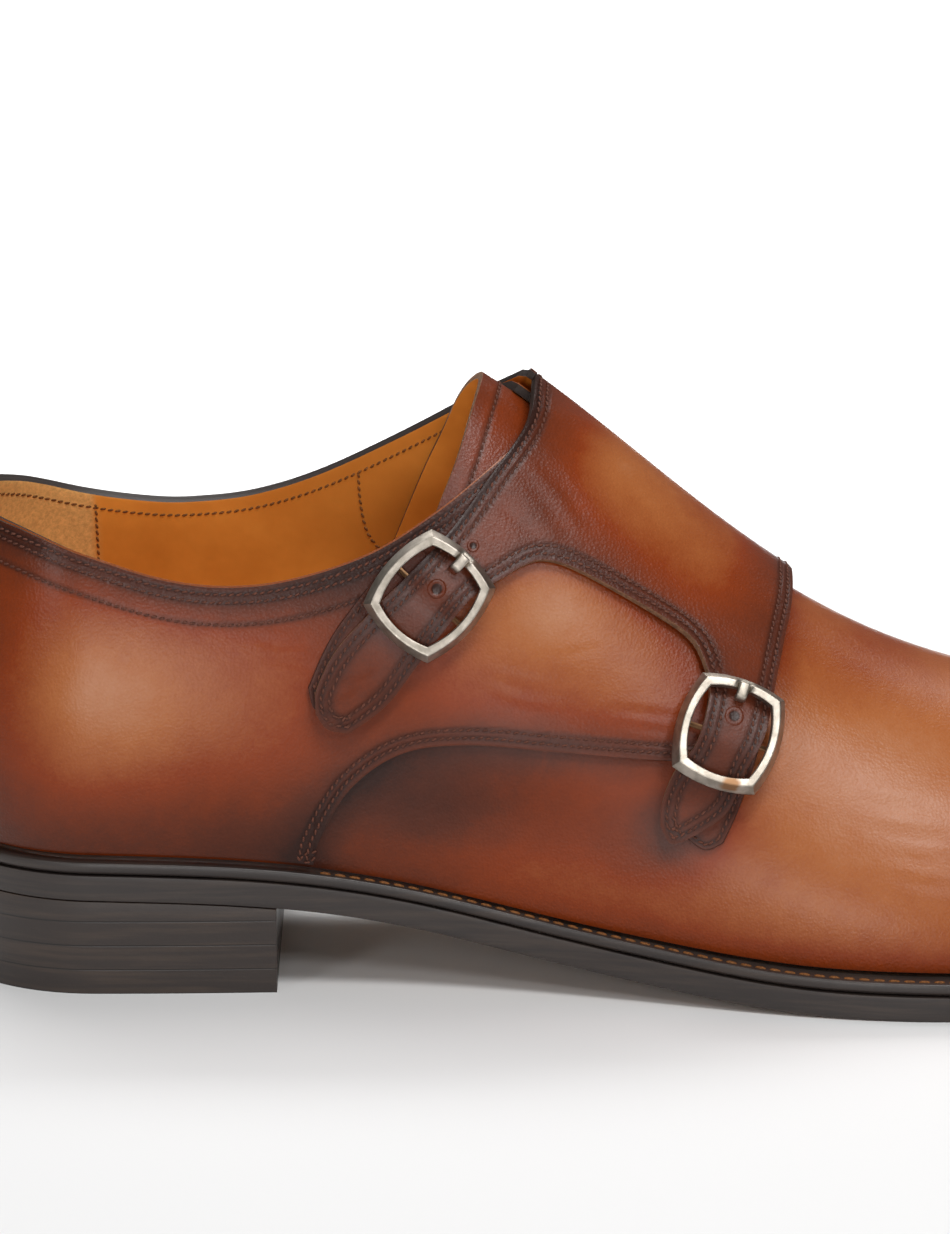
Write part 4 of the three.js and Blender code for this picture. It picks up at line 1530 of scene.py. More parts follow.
@dataclass
class LateralQuarter:
    """The outer quarter, from the heel seam to under the straps."""

    front: float = 163.0
    foot: float = 0.982
    rows: int = 100
    collar_end: float = 128.0
    seam_end: float = 157.0
    collar_fade: Row = (0.1, 9.0)  # how much darker, and how far
    # How much darker the quarter is painted beside the straps' edges, as their shadow, and how far
    strap_shadow_fades: Tuple[Row, ...] = ((0.27, 2.8), (0.07, 8.0))
    ink: float = 0.55
    collar_rows: Tuple[float, ...] = (-1.4, -3.0, -7.4)
    seam_rows: Tuple[float, ...] = (1.5, 3.1)
    patina: Patina = Patina(
        0.5,
        (
            Shade(38, 63, 19, 15, 0.34), Shade(126, 79, 17, 11, 0.38), Shade(75, 64, 18, 12, 0.08),
            Shade(14, 66, 12, 24, -0.1), Shade(142, 66, 14, 9, 0.12), Shade(74, 36, 14, 12, -0.12),
            Shade(92, 84, 14, 9, -0.16), Shade(-2, 66, 9, 70, -0.2),
        ),
        edge_dark=0.25, edge_reach=6.5, foot_dark=0.24, foot_reach=14.0,
    )

    @property
    def lift(self) -> float:
        """Height of the outer face over the last."""
        return GAP + QUARTER

    def lines(self) -> Dict[str, Array]:
        """Finds the quarter's edges.

        Returns:
            Its foot and its top, as stations and places across.
        """
        first, dense, last = LAST.station(np.array([*SEAM_TURN, self.front]))
        s = np.concatenate([
            np.linspace(0.0, first, 120, endpoint=False), np.linspace(first, dense, 60, endpoint=False),
            np.linspace(dense, last, 110),
        ])
        foot = np.maximum(LAST.trim(s, Side.LATERAL, self.lift, quarter_foot(LATERAL_FRONT)), -self.foot)
        top = LAST.trim(s, Side.LATERAL, self.lift, flow(LATERAL_TOPLINE))
        return {"foot": np.stack([s, foot], axis=1), "top": np.stack([s, top], axis=1)}

    def build(self, finishes: Finishes, sewing: Stitching, straps: Sequence[Array]) -> List[Array]:
        """Makes the quarter and marks its sewing.

        Args:
            finishes: the materials.
            sewing: where its rows go.
            straps: the lines in space of the straps' edges, beside which their shadow is painted on the
                quarter.

        Returns:
            The seam's line in space.
        """
        edges = self.lines()
        share = np.linspace(0.0, 1.0, self.rows)[:, None]
        s, foot, top = edges["foot"][:, 0], edges["foot"][:, 1], edges["top"][:, 1]
        piece = Piece("quarter_lateral_skin")
        wide, across = np.broadcast_to(s, (self.rows, len(s))), foot + share * (top - foot)
        piece.grid(creased(LAST.skin(wide, across, self.lift), LAST.normal(wide, across)))
        piece.place(finishes.get(*LEATHER), "brown_leather", ["quarter_lateral"])
        p = piece.points()
        x = LAST.skin(s, top, self.lift)[:, 0]
        collar = edges["top"][x < self.collar_end]
        lower = edges["foot"][(x > SEAM_START) & (x < self.seam_end)]
        top_line, seam_line = (LAST.skin(e[:, 0], e[:, 1], self.lift) for e in (collar, lower))
        top_line = even(top_line, 700)
        rows = [sewing.row(collar, self.lift, way) for way in self.collar_rows]
        rows += [sewing.row(lower, self.lift, way) for way in self.seam_rows]
        tone = self.patina.tone(p, nearness(p, [top_line, even(seam_line, 500)]))
        # Darker by the collar, and painted shadow beside the straps' edges
        beside = nearness(p, straps)
        fades = [(nearness(p, [top_line]), *self.collar_fade), *((beside, *f) for f in self.strap_shadow_fades)]
        for way, amount, reach in fades:
            tone -= amount * fade(way, reach)
        piece.dress(tone, self.ink, [even(row, 800) for row in rows])
        piece.thicken(QUARTER, 0.3)
        return [even(seam_line, 400)]


@dataclass
class StrapQuarter:
    """The inner quarter, which goes on over the instep as a panel with two straps."""

    panel_rows: int = 56
    strap_rows: int = 56
    medial_rows: int = 66
    upper_top: float = 137.0
    lower_top: float = 163.0
    upper_split: Row = (105.0, 94.4)
    lower_split: Row = (172.5, 68.0)
    foot: float = 0.982
    paint_low: float = 86.0
    paint_reach: Row = (0.4, 2.0)
    paint_worn: float = 0.85
    paint_fade: Row = (0.42, 1.0)  # how much darker, and how far
    skived: float = 0.35
    edge_rows: Tuple[float, ...] = (1.3, 3.0)
    seams: List[Array] = field(default_factory=list)
    patina: Patina = Patina(
        0.34,
        (
            Shade(139, 105, 9, 9, 0.36), Shade(149, 96, 9, 9, 0.32), Shade(159, 86, 9, 8, 0.26),
            Shade(98, 78, 16, 16, -0.05), Shade(160, 46, 9, 14, -0.1), Shade(124, 100, 8, 9, -0.06),
            Shade(-2, 66, 9, 70, -0.1),
        ),
        edge_dark=0.12, edge_reach=4.0, foot_dark=0.2, foot_reach=12.0,
        far_shades=(Shade(36, 64, 26, 18, 0.3), Shade(92, 66, 48, 17, 0.32)),
    )

    def side_lines(self) -> Dict[str, Array]:
        """Finds the outlines of the panel and the straps.

        Returns:
            Each by its name, as stations and places across.
        """
        named = {
            "back": PANEL_BACK, "upper_tip": UPPER_TIP, "upper_right": UPPER_RIGHT, "cut": CUT_OUT,
            "lower_left": LOWER_LEFT, "lower_tip": LOWER_TIP, "front": PANEL_FRONT,
        }
        return {name: LAST.seat(flow(rows), STRAPS.outer) for name, rows in named.items()}

    def skin(self, line: Array) -> Array:
        """Returns a line's points on the outer face."""
        return LAST.skin(line[..., 0], line[..., 1], STRAPS.outer)

    def build(self, finishes: Finishes, sewing: Stitching) -> List[Array]:
        """Makes the quarter with its straps and marks its sewing.

        Args:
            finishes: the materials.
            sewing: where its rows go.

        Returns:
            The lines in space of the straps' edges.
        """
        line = self.side_lines()
        line.update({name: from_ridge(line[name]) for name in ("back", "front")})
        back, front = line["back"], line["front"]
        back_panel, back_strap = split(back, self.skin(back), self.upper_split)
        front_panel, front_strap = split(front, self.skin(front), self.lower_split)
        upper_top, lower_top = (float(LAST.station(x)) for x in (self.upper_top, self.lower_top))
        ridge = {
            "upper": np.linspace(back[0, 0], upper_top, 24),
            "middle": np.linspace(upper_top, lower_top, 48),
            "lower": np.linspace(lower_top, front[0, 0], 24),
        }
        tops = {name: np.stack([s, np.zeros_like(s)], axis=1) for name, s in ridge.items()}
        n = self.panel_rows
        inner_upper = even(np.array([tops["upper"][-1], line["cut"][0]]), n)
        inner_lower = even(np.array([tops["lower"][0], line["cut"][-1]]), n)
        join_upper = even(np.array([back_panel[-1], line["cut"][0]]), 24)
        join_lower = even(np.array([line["cut"][-1], front_panel[-1]]), 24)
        patches = [
            coons(even(back_panel, n), inner_upper, tops["upper"], join_upper),
            coons(inner_upper, inner_lower, tops["middle"], even(line["cut"], 48)),
            coons(inner_lower, even(front_panel, n), tops["lower"], join_lower),
        ]
        sides = (
            (back_strap, line["upper_right"], join_upper, line["upper_tip"]),
            (line["lower_left"], front_strap, join_lower, line["lower_tip"]),
        )
        for left, right, join, tip in sides:
            both = (even(side, self.strap_rows) for side in (left, right))
            patches.append(coons(*both, join, even(tip, 24)))
        piece = Piece("quarter_medial_with_straps_skin")
        for patch in patches:
            piece.grid(creased(self.skin(patch), LAST.normal(patch[..., 0], patch[..., 1]))[::-1])
        medial = self.medial_lines(ridge)
        share = np.linspace(0.0, 1.0, self.medial_rows)[:, None]
        across = medial["top"][:, 1] + share * (medial["foot"][:, 1] - medial["top"][:, 1])
        piece.grid(LAST.skin(np.broadcast_to(medial["top"][:, 0], across.shape), across, STRAPS.outer))
        piece.sew()
        piece.place(finishes.get(*LEATHER), "brown_leather", ["quarter_medial_with_straps"])
        self.dress(piece, line, medial, self.sew(sewing, line, medial))
        self.seams = [even(self.skin(front), 300), even(self.skin(medial["seam"]), 500)]
        return [even(self.skin(e), 300) for e in (*(line[k] for k in STRAP_EDGES), back_strap)]

    def medial_lines(self, ridge: Dict[str, Array]) -> Dict[str, Array]:
        """Finds the edges of the medial side.

        Args:
            ridge: the stations along the ridge where it joins the panel.

        Returns:
            Its top, its foot and its seam, as stations and places across.
        """
        joined = np.concatenate([ridge["upper"], ridge["middle"][1:], ridge["lower"][1:]])
        first, dense = LAST.station(np.array(SEAM_TURN))
        s = np.concatenate([
            np.linspace(0.0, first, 90, endpoint=False), np.linspace(first, dense, 50, endpoint=False),
            np.linspace(dense, joined[0], 26, endpoint=False), joined,
        ])
        foot = np.minimum(LAST.trim(s, Side.MEDIAL, STRAPS.outer, quarter_foot(MEDIAL_FRONT)), self.foot)
        top = LAST.trim(s, Side.MEDIAL, STRAPS.outer, flow(MEDIAL_TOPLINE))
        top[s >= joined[0]] = 0.0
        foot[-1] = 0.0
        lines = {"top": np.stack([s, top], axis=1), "foot": np.stack([s, foot], axis=1)}
        x = LAST.skin(s, foot, STRAPS.outer)[:, 0]
        lines["seam"] = lines["foot"][x > SEAM_START]
        lines["collar"] = lines["top"][s <= joined[0]]
        return lines

    def dress(
        self, piece: Piece, line: Dict[str, Array], medial: Dict[str, Array], rows: Sequence[Array],
    ) -> None:
        """Gives the sheet its patina and its thickness.

        Args:
            piece: the placed sheet.
            line: the outlines of the panel and the straps.
            medial: the medial side's edges.
            rows: the rows of sewing on it.
        """
        p = piece.points()
        outer = [line[k] for k in (*STRAP_EDGES, "back", "front")]
        edges = [even(self.skin(e), 300) for e in (*outer, medial["seam"], medial["collar"])]
        painted = line["back"][self.skin(line["back"])[:, 2] > self.paint_low]
        inked = nearness(p, [even(self.skin(e), 400) for e in (medial["collar"], painted)])
        dark, reach = self.paint_fade
        tone = self.patina.tone(p, nearness(p, edges)) - dark * fade(inked, reach)
        piece.dress(tone, 1.0 - self.paint_worn * smoothstep(*self.paint_reach, inked), rows)
        piece.thicken(STRAP - self.skived, 0.3)

    def sew(self, sewing: Stitching, line: Dict[str, Array], medial: Dict[str, Array]) -> List[Array]:
        """Marks the rows of sewing.

        Args:
            sewing: where they go.
            line: the outlines of the panel and the straps.
            medial: the medial side's edges.

        Returns:
            Each row's points.
        """
        left = np.vstack([line["back"], line["upper_tip"][1:]])
        lower = np.vstack([line["lower_left"], line["lower_tip"][1:]])
        rows = []
        for way in self.edge_rows:
            for edge, sign in (
                (left, 1), (line["upper_right"], -1), (line["cut"], 1), (lower, 1), (line["front"], -1),
                (medial["collar"], 1), (medial["seam"], -1),
            ):
                rows.append(even(sewing.row(edge, STRAPS.outer, sign * way), 400))
        return rows


@dataclass
class Tongue:
    """The tongue, inside the throat under the panel."""

    front: float = 162.0
    half: float = 0.56
    far_step: float = 2.5
    far_from: float = 0.3
    columns: int = 90
    rows: int = 70
    bunching: float = 1.4
    sewn_in: float = 4.0
    ink: float = 0.2
    search_from: float = 70.0
    patina: Patina = Patina(0.37, (Shade(112, 112, 8, 9, 0.06),), edge_dark=0.08, edge_reach=3.0)

    @property
    def lift(self) -> float:
        """Height of the outer face over the last."""
        return -(WALL + GAP)

    def back_line(self) -> Array:
        """Finds the back edge.

        Returns:
            Its stations and places across.
        """
        a = np.linspace(-self.half, self.half, self.rows)
        outline = flow(TONGUE_BACK)[::-1]
        low, high = (np.full_like(a, float(LAST.station(x))) for x in (self.search_from, self.front))

        step = self.far_step * smoothstep(0.0, self.far_from, a)

        def behind(s: Array) -> Array:
            """Tells which points are behind the outline."""
            p = LAST.skin(s, a, self.lift)
            return p[:, 0] < np.interp(p[:, 2], outline[:, 1], outline[:, 0]) - step

        return np.stack([halve(low, high, behind, 36), a], axis=1)

    def build(self, finishes: Finishes, sewing: Stitching) -> None:
        """Makes the tongue and marks its row of sewing.

        Args:
            finishes: the materials.
            sewing: where its row goes.
        """
        back = self.back_line()
        share = np.linspace(0.0, 1.0, self.columns) ** self.bunching
        s = back[:, :1] + share * (LAST.station(self.front) - back[:, :1])
        piece = Piece("tongue_leaf")
        piece.grid(LAST.skin(s, np.broadcast_to(back[:, 1:], s.shape), self.lift))
        piece.place(finishes.get(*LEATHER), "brown_leather", ["tongue"])
        p = piece.points()
        edge = LAST.skin(back[:, 0], back[:, 1], self.lift)
        row = sewing.row(back, self.lift, -self.sewn_in)
        piece.dress(self.patina.tone(p, nearness(p, [even(edge, 500)])), self.ink, [even(row, 400)])
        piece.thicken(WALL, 0.5)


@dataclass
class Tab:
    """A short leather tab under a strap, which holds its buckle."""

    name: str
    node: str
    outline: Dict[str, Sequence[Row]]
    sewn_in: float = 1.2
    patina: Patina = Patina(0.3, edge_dark=0.12, edge_reach=2.5)

    def lift(self, s: Array, a: Array) -> Array:
        """Returns the height of the outer face over the last."""
        return STRAPS.ground(s, a) + TAB

    def build(self, finishes: Finishes, sewing: Stitching) -> None:
        """Makes the tab and marks its sewing.

        Args:
            finishes: the materials.
            sewing: where its rows go.
        """
        sides = (self.outline[name] for name in ("left", "right", "tip"))
        left, right, tip = (LAST.seat(flow(side), self.lift) for side in sides)
        top = even(np.array([left[0], right[0]]), 30)
        patch = coons(even(left, 60), even(right, 60), top, even(tip, 30))
        piece = Piece(self.name)
        piece.grid(LAST.skin(patch[..., 0], patch[..., 1], self.lift)[::-1])
        piece.place(finishes.get(*LEATHER), "dark_leather", [self.node])
        p = piece.points()
        edges = [even(LAST.skin(e[:, 0], e[:, 1], self.lift), 200) for e in (left, right, tip)]
        beside = ((np.vstack([left, tip[1:]]), self.sewn_in), (right, -self.sewn_in))
        rows = [sewing.row(edge, self.lift, way) for edge, way in beside]
        piece.dress(self.patina.tone(p, nearness(p, edges)), 1.0, [even(row, 200) for row in rows])
        piece.thicken(TAB, 0.25)


@dataclass
class Bottom:
    """Welt, outsole, heel and insole."""

    columns: int = 150
    across: int = 14
    edge_steps: int = 6
    heel_columns: int = 80
    bunching: float = 0.07
    sole_batter: float = 0.4
    heel_set: float = 0.3
    sharp: float = 40.0  # degrees
    sewn_in: float = 1.5
    sewn_down: float = 0.17
    sewn_from: float = 6.0
    sewn_pitch: float = 3.0
    welt_lines: Tuple[Tuple[float, float], ...] = (
        (0.0, 0.0), (0.0, 0.22), (1.0, 0.16), (1.0, 0.7), (0.9, 1.0), (0.0, 1.0),
    )

    def stations(self, last: float, count: int) -> Array:
        """Spaces stations from the heel.

        Args:
            last: the last station.
            count: how many there are.

        Returns:
            The stations, closer in the heel's curve and at the toe where they go so far.
        """
        t = np.linspace(0.0, 1.0, count)
        if last > LAST.toe_station:
            t = t - self.bunching * np.sin(2 * math.pi * t)
        return last * t

    def loop(self, s: Array, outs: Sequence[Array], zs: Sequence[Array]) -> Array:
        """Lays a closed section at each station.

        Args:
            s: stations.
            outs: way out from the feather line for the foot and the top of the edge.
            zs: heights of the foot and the top.

        Returns:
            Rows round the section by columns of stations.
        """
        corners = {(side, k): LAST.sole(s, side, outs[k], zs[k]) for side in Side for k in (0, 1)}
        u = np.linspace(0.0, 1.0, self.across)[:, None, None]
        low = corners[Side.MEDIAL, 0] * (1 - u) + corners[Side.LATERAL, 0] * u
        high = corners[Side.LATERAL, 1] * (1 - u) + corners[Side.MEDIAL, 1] * u
        rise = np.linspace(0.0, 1.0, self.edge_steps)[1:-1, None, None]
        near = corners[Side.LATERAL, 0] * (1 - rise) + corners[Side.LATERAL, 1] * rise
        far = corners[Side.MEDIAL, 1] * (1 - rise) + corners[Side.MEDIAL, 0] * rise
        return np.concatenate([low, near, high, far, low[:1]])

    def closed(
        self, name: str, rows: Array, materials: List[bpy.types.Material], slot: str, node: str,
    ) -> Piece:
        """Makes one closed piece of sections.

        Args:
            name: the piece's name.
            rows: its points.
            materials: its materials, the second for the face on the floor.
            slot: the record's material slot.
            node: the solid that it stands for.

        Returns:
            The placed piece.
        """
        piece = Piece(name)
        piece.grid(rows)
        piece.sew()
        open_edges = [e for e in piece.bm.edges if e.is_boundary]
        if open_edges:
            bmesh.ops.holes_fill(piece.bm, edges=open_edges, sides=0)
        bmesh.ops.recalc_face_normals(piece.bm, faces=piece.bm.faces)
        if len(materials) > 1:
            for face in piece.bm.faces:
                face.material_index = 1 if face.normal.z < -0.8 else 0
        piece.place(materials, slot, [node])
        return piece

    def build(self, finishes: Finishes, sewing: Stitching) -> None:
        """Makes the four pieces and marks the welt's sewing.

        Args:
            finishes: the materials.
            sewing: where the welt's rows go.
        """
        s = self.stations(LAST.end, self.columns)
        feather, margin = LAST.edge(s)
        zs = (np.maximum(0.0, feather - SOLE_STACK), feather - 2 * GAP - WELT)
        rows = self.loop(s, (margin - self.sole_batter, margin), zs)
        looks = finishes.get(SOLE_EDGE, TREAD)
        sole = self.closed("outsole_leather", rows, looks, "sole_leather", "outsole")
        sole.round_edges(0.7, 3, self.sharp)
        tuck = np.full_like(s, -(WELT_TUCK + GAP))
        rows = self.loop(s, (tuck, tuck), (feather - GAP - WELT, feather + INSOLE_ABOVE))
        board = self.closed("insole_sock", rows, finishes.get(LINING), "lining_leather", "insole")
        board.carry("suede", np.zeros(len(board.points())))
        board.round_edges(0.5, 2, self.sharp)
        self.build_heel(finishes)
        self.build_welt(finishes, sewing, s)

    def build_heel(self, finishes: Finishes) -> None:
        """Makes the stacked heel.

        Args:
            finishes: the materials.
        """
        s = self.stations(float(LAST.station(BREAST_X)), self.heel_columns)
        feather, margin = LAST.edge(s)
        outs = (margin - HEEL_TAPER, margin - self.heel_set)
        rows = self.loop(s, outs, (np.zeros_like(s), feather - SOLE_STACK - GAP))
        heel = self.closed("heel_stack", rows, finishes.get(HEEL_STACK, TREAD), "sole_leather", "heel")
        heel.round_edges(0.6, 3, self.sharp)

    def build_welt(self, finishes: Finishes, sewing: Stitching, s: Array) -> None:
        """Makes the welt as one strip round the shoe.

        Args:
            finishes: the materials.
            sewing: where its rows go.
            s: stations.
        """
        both = [(Side.LATERAL, s), (Side.MEDIAL, s[::-1])]
        rows = []
        for reach, drop in (*self.welt_lines, self.welt_lines[0]):
            ring = []
            for side, run in both:
                feather, margin = LAST.edge(run)
                out = -WELT_TUCK + reach * (margin + WELT_TUCK)
                ring.append(LAST.sole(run, side, out, feather - GAP - drop * WELT))
            rows.append(np.vstack(ring))
        piece = Piece("welt_strip")
        piece.grid(np.array(rows))
        piece.sew()
        bmesh.ops.recalc_face_normals(piece.bm, faces=piece.bm.faces)
        piece.place(finishes.get(SOLE_EDGE), "sole_leather", ["welt"])
        piece.round_edges(0.35, 2, self.sharp)
        seat = s[s > LAST.station(BREAST_X + self.sewn_from)]
        feather, margin = LAST.edge(seat)
        for side in Side:
            p = LAST.sole(seat, side, margin - self.sewn_in, feather - GAP - self.sewn_down * WELT)
            sewing.mark(p, np.tile((0.0, 0.0, 1.0), (len(p), 1)), self.sewn_pitch)


@dataclass(frozen=True)
class Hole:
    """A hole in a strap: its place from the buckle's middle, its size and its pressed ring's height."""

    along: float
    radius: float
    swell: float


UPPER_HOLES = (Hole(-2.2, 0.95, 0.16), Hole(-12.9, 0.6, 0.02))
LOWER_HOLES = (Hole(-4.0, 0.95, 0.02),)

# The middle of the worn spot on a buckle's face, along and across the strap
NO_RUB = (40.0, 0.0)
LOWER_RUB = (10.5, 3.0)


@dataclass
class Buckle:
    """A frame with four bowed sides, its bar, posts and prong."""

    name: str
    place: BucklePlace
    frame_node: str
    prong_node: str
    # the middle of the rubbed spot on the face
    rub: Tuple[float, float]
    holes: Tuple[Hole, ...]
    length: float = 20.2
    width: float = 17.4
    long_bow: float = 2.0
    short_bow: float = 1.5
    rim: float = 2.3
    window_bow: float = 0.85
    per_side: int = 44
    bar_radius: float = 0.6
    bar_lift: float = 3.95
    post: float = 1.1
    post_under: float = 0.8
    post_into: float = 0.4
    post_edge: float = 0.2
    prong_half: float = 1.1
    notch_from: float = -11.0
    notch_past: float = 1.0
    notch_depth: float = 1.15
    notch_half: Row = (1.2, 1.55)
    rub_reach: float = 3.2
    hole_over: float = 0.12
    # Rings of a strap's hole: their radius, their share of its swell and their drop
    hole_rings: Tuple[Tuple[float, float, float], ...] = (
        (2.05, 0.0, 0.12), (1.85, 0.5, 0.0), (1.6, 1.0, 0.0), (1.25, 0.7, 0.0), (1.0, 0.0, 0.06),
        (0.75, 0.0, 0.1), (0.0, 0.0, 0.11),
    )
    # How far in from the rim and how far up, round the frame's section
    section: Tuple[Tuple[float, float], ...] = (
        (0.08, 0.0), (0.02, 0.02), (0.0, 0.06), (0.01, 0.16), (0.03, 0.2), (0.2, 0.55), (0.4, 0.93),
        (0.43, 0.98), (0.46, 1.0), (0.55, 1.0), (0.9, 1.0), (0.96, 0.99), (0.99, 0.96), (1.0, 0.9),
        (1.0, 0.1), (0.94, 0.0),
    )
    prong_outline: Tuple[Tuple[float, float], ...] = (
        (-10.7, 7.8), (-9.0, 7.8), (-8.5, 7.0), (-8.1, 3.1), (-1.5, 3.1), (-1.5, 3.95), (-7.0, 3.95),
        (-6.9, 8.1), (-7.6, 9.0), (-10.7, 9.0),
    )

    def ring(self, inset_by: float, bowed: float = 1.0) -> Array:
        """Draws the frame's outline.

        Args:
            inset_by: how far it is moved inwards.
            bowed: how much of its bow it has.

        Returns:
            Its points, in the buckle's own axes.
        """
        half_x, half_y = self.length / 2 - inset_by, self.width / 2 - inset_by
        t = np.sin(np.linspace(-1.0, 1.0, self.per_side, endpoint=False) * math.pi / 2)
        wide, tall = (bow * bowed * (1 - t**2) for bow in (self.long_bow, self.short_bow))
        sides = [
            (half_x * t, -half_y - wide), (half_x + tall, half_y * t),
            (-half_x * t, half_y + wide), (-half_x - tall, -half_y * t),
        ]
        return np.vstack([np.stack(side, axis=1) for side in sides])

    def to_shoe(self, points: Array) -> Array:
        """Moves points from the buckle's own axes onto the shoe."""
        m = np.array(self.place.matrix())
        return points @ m[:3, :3].T + m[:3, 3]

    def build(self, finishes: Finishes) -> None:
        """Makes the frame, the prong and the strap's holes.

        Args:
            finishes: the materials.
        """
        self.build_frame(finishes)
        self.build_prong(finishes)
        for number, hole in enumerate(self.holes):
            self.build_hole(hole, f"{self.name}_strap_hole_{number}", finishes)

    def build_frame(self, finishes: Finishes) -> None:
        """Makes the frame with its bar and posts.

        Args:
            finishes: the materials.
        """
        outer, inner = self.ring(0.0), self.ring(self.rim, self.window_bow)
        outer, inner = (np.vstack([r, r[:1]]) for r in (outer, inner))
        rows = []
        for q, rise in (*self.section, self.section[0]):
            flat = outer * (1 - q) + inner * q
            z = FRAME_LIFT + FRAME_THICK * np.full(len(flat), rise)
            notch_to = -self.length / 2 + self.rim + self.notch_past
            notch = (flat[:, 0] > self.notch_from) & (flat[:, 0] < notch_to) & (rise > 0.5)
            dip = self.notch_depth * (1 - smoothstep(*self.notch_half, np.abs(flat[:, 1])))
            rows.append(np.column_stack([flat, z - np.where(notch, dip, 0.0)]))
        piece = Piece(self.name + "_frame")
        piece.grid(self.to_shoe(np.array(rows).reshape(-1, 3)).reshape(len(rows), -1, 3))
        piece.sew()
        self.add_bar(piece)
        bmesh.ops.recalc_face_normals(piece.bm, faces=piece.bm.faces)
        piece.place(finishes.get(NICKEL), "nickel", [self.frame_node])
        p = piece.points()
        spot = self.to_shoe(np.array([[*self.rub, FRAME_LIFT + FRAME_THICK]]))
        m = np.array(self.place.matrix())
        # The bar and posts lie in the shade under the strap, and are painted warm brown as that shade
        under = (p - m[:3, 3]) @ m[:3, 2] < FRAME_LIFT - 0.1
        rubbed = fade(np.linalg.norm(p - spot, axis=1), self.rub_reach)
        piece.carry("rub", np.where(under, 1.0, rubbed))

    def add_bar(self, piece: Piece) -> None:
        """Adds the bar under the strap and the posts that carry it.

        Args:
            piece: the frame.
        """
        seat = Matrix.Translation(Vector(-ORIGIN * MM)) @ Matrix.Scale(MM, 4) @ self.place.matrix()
        reach = self.width / 2 + self.long_bow - self.rim / 2
        turn = Matrix.Rotation(math.pi / 2, 4, "X")
        bmesh.ops.create_cone(
            piece.bm, cap_ends=True, segments=20, radius1=self.bar_radius, radius2=self.bar_radius,
            depth=2 * reach, matrix=seat @ Matrix.Translation((0, 0, self.bar_lift)) @ turn,
        )
        tall = FRAME_LIFT - self.bar_lift + self.post_under + self.post_into
        for sign in (-1, 1):
            middle = Matrix.Translation((0, sign * reach, self.bar_lift - self.post_under + tall / 2))
            size = Matrix.Diagonal((self.post, self.post, tall, 1.0))
            made = bmesh.ops.create_cube(piece.bm, size=1.0, matrix=seat @ middle @ size)["verts"]
            edges = {e for v in made for e in v.link_edges}
            bmesh.ops.bevel(
                piece.bm, geom=list(edges), offset=self.post_edge * MM, offset_type="OFFSET",
                affect="EDGES", segments=2, profile=0.5, material=-1,
            )

    def build_prong(self, finishes: Finishes) -> None:
        """Makes the prong from its side outline.

        Args:
            finishes: the materials.
        """
        piece = Piece(self.name + "_prong")
        side = np.array([(x, -self.prong_half, z) for x, z in self.prong_outline])
        made = [piece.bm.verts.new((p - ORIGIN) * MM) for p in self.to_shoe(side)]
        face = piece.bm.faces.new(made)
        pushed = bmesh.ops.extrude_face_region(piece.bm, geom=[face])["geom"]
        across = Vector(np.array(self.place.matrix())[:3, 1]) * (2 * self.prong_half * MM)
        moved = [v for v in pushed if isinstance(v, bmesh.types.BMVert)]
        bmesh.ops.translate(piece.bm, vec=across, verts=moved)
        bmesh.ops.recalc_face_normals(piece.bm, faces=piece.bm.faces)
        piece.place(finishes.get(NICKEL), "nickel", [self.prong_node])
        piece.carry("rub", np.zeros(len(piece.object.data.vertices)))
        piece.round_edges(0.5, 3, 25.0)

    def build_hole(self, hole: Hole, name: str, finishes: Finishes) -> None:
        """Makes the pressed ring and the hole in the strap, its middle painted dark as shade.

        Args:
            hole: its place and size.
            name: the object's name.
            finishes: the materials.
        """
        (centre,) = self.to_shoe(np.array([[hole.along, 0.0, FRAME_LIFT]]))
        m = np.array(self.place.matrix())
        turn = np.linspace(0.0, 2 * math.pi, 33)
        rows = []
        circle = np.cos(turn)[:, None] * m[:3, 0] + np.sin(turn)[:, None] * m[:3, 1]
        for radius, swell, drop in self.hole_rings:
            ring = centre + radius * hole.radius * circle
            s, a = LAST.seat(ring[:, (0, 2)], STRAPS.outer).T
            over = STRAPS.outer(s, a) + swell * hole.swell - drop + self.hole_over
            rows.append(LAST.point(s, a) + LAST.normal(s, a) * over[:, None])
        piece = Piece(name)
        piece.grid(np.array(rows)[:, ::-1])
        piece.sew()
        piece.place(finishes.get(BURNISHED), "dark_leather")
        p = piece.points()
        off = np.linalg.norm(p - np.array(rows)[-1].mean(0), axis=1) / hole.radius
        # The hole's middle is painted dark, as the shade down in it
        piece.dress(0.4 * smoothstep(0.85, 1.3, off) - 0.12, 0.0)


@dataclass(frozen=True)
class Lamp:
    """A soft box: its place and aim in metres, its size, power and spread."""

    name: str
    spot: Tuple[float, float, float]
    aim: Tuple[float, float, float]
    size: Tuple[float, float]
    power: float
    spread: float = 180.0


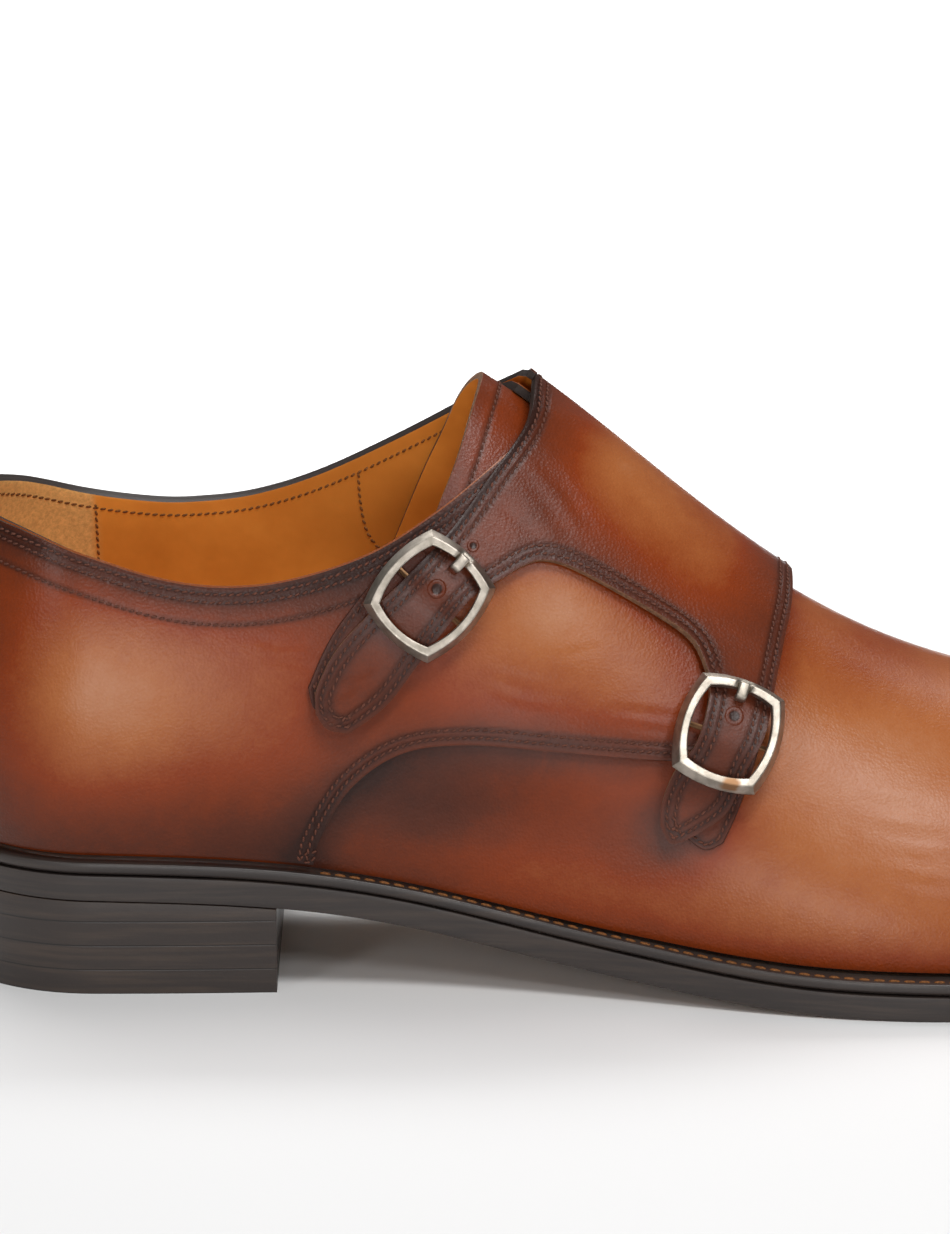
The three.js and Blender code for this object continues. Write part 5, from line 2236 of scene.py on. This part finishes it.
@dataclass
class Studio:
    """Floor, light and camera."""

    lamps: Tuple[Lamp, ...] = (
        Lamp("overhead", (0.22, -0.54, 0.92), (0.03, 0.0, 0.06), (0.44, 0.27), 6.2),
        Lamp("heel_side", (-0.13, -1.05, 0.1), (-0.11, 0.0, 0.07), (0.2, 0.27), 2.5),
        Lamp("instep_side", (0.29, -0.82, 0.57), (-0.03, 0.0, 0.09), (0.16, 0.2), 1.8),
        Lamp("collar_side", (-0.70, -1.0, 0.46), (-0.12, 0.0, 0.08), (0.22, 0.26), 2.0),
        Lamp("above", (-0.2, 0.3, 1.2), (-0.05, 0.0, 0.06), (0.6, 0.6), 4.2),
        Lamp("backdrop", (0.0, 1.1, 1.1), (0.0, 1.0, 0.0), (1.8, 1.0), 22.0, 90.0),
    )
    surround: float = 0.16
    aim: Tuple[float, float, float] = (-40.67, 2.51, 69.46)
    away: float = 1500.0
    tilt: float = 15.0  # degrees
    lens: float = 214.4
    sensor: float = 36.0

    def build(self) -> None:
        """Sets the floor, the lights and the camera."""
        self.build_floor()
        self.build_lights()
        self.build_camera()

    def build_floor(self) -> None:
        """Makes a wide pale floor."""
        g = Graph("studio_paper")
        low, high = rgba((0.70, 0.70, 0.70)), rgba((0.74, 0.74, 0.74))
        g.surface(Base_Color=g.blend(g.noise(Grain(2.0)), low, high), Roughness=0.9)
        bm = bmesh.new()
        bmesh.ops.create_grid(bm, x_segments=2, y_segments=2, size=6.0)
        mesh = bpy.data.meshes.new("studio_floor")
        bm.to_mesh(mesh)
        bm.free()
        floor = bpy.data.objects.new("studio_floor", mesh)
        bpy.context.collection.objects.link(floor)
        mesh.materials.append(g.material)

    def build_lights(self) -> None:
        """Makes a dim white surround and the soft boxes."""
        world = bpy.data.worlds.new("studio")
        bpy.context.scene.world = world
        world.use_nodes = True
        sky = world.node_tree.nodes["Background"].inputs
        sky["Color"].default_value = (1.0, 1.0, 1.0, 1.0)
        sky["Strength"].default_value = self.surround
        bpy.context.scene.view_settings.view_transform = "Standard"
        for lamp in self.lamps:
            light = bpy.data.lights.new("studio_" + lamp.name, "AREA")
            light.shape = "RECTANGLE"
            light.size, light.size_y = lamp.size
            light.energy = lamp.power
            light.spread = math.radians(lamp.spread)
            made = bpy.data.objects.new("studio_" + lamp.name, light)
            made.location = lamp.spot
            beam = Vector(lamp.aim) - Vector(lamp.spot)
            made.rotation_euler = beam.to_track_quat("-Z", "Y").to_euler()
            bpy.context.collection.objects.link(made)

    def build_camera(self) -> None:
        """Sets the camera at the photograph's angle."""
        camera = bpy.data.cameras.new("studio_camera")
        camera.sensor_fit = "VERTICAL"
        camera.sensor_height = self.sensor
        camera.lens = self.lens
        camera.clip_end = 20.0
        view = bpy.data.objects.new("studio_camera", camera)
        tilt = math.radians(self.tilt)
        back = Vector((0.0, -math.cos(tilt), math.sin(tilt)))
        view.location = Vector(self.aim) * MM + back * (self.away * MM)
        view.rotation_euler = back.to_track_quat("Z", "Y").to_euler()
        bpy.context.collection.objects.link(view)
        bpy.context.scene.camera = view


def main() -> None:
    """Builds the shoe and its studio."""
    logging.basicConfig(level=logging.INFO, format="%(message)s")
    finishes = Finishes()
    sewing = Stitching("sewing_upper", DARK_THREAD, "dark_leather")
    lining_sewing = Stitching("sewing_lining", LINING_THREAD, "lining_leather")
    welt_sewing = Stitching("sewing_welt", LINING_THREAD, "sole_leather")
    straps = StrapQuarter()
    strap_edges = straps.build(finishes, sewing)
    seams = LateralQuarter().build(finishes, sewing, strap_edges)
    # The wall is darker beside the seams, and painted with the straps' shadow beside their edges
    UpperShell().build(finishes, seams + straps.seams + strap_edges, lining_sewing)
    Tongue().build(finishes, sewing)
    for tab in (
        Tab("tab_upper_leather", "tab_upper", UPPER_TAB),
        Tab("tab_lower_leather", "tab_lower", LOWER_TAB),
    ):
        tab.build(finishes, sewing)
    Bottom().build(finishes, welt_sewing)
    for buckle in (
        Buckle("buckle_upper", UPPER_BUCKLE, "buckle_upper", "prong_upper", NO_RUB, UPPER_HOLES),
        Buckle("buckle_lower", LOWER_BUCKLE, "buckle_lower", "prong_lower", LOWER_RUB, LOWER_HOLES),
    ):
        buckle.build(finishes)
    sewing.build(finishes)
    lining_sewing.build(finishes)
    welt_sewing.build(finishes, WELT_STITCH, WELT_GIRTH)
    Studio().build()


if __name__ == "__main__":
    main()
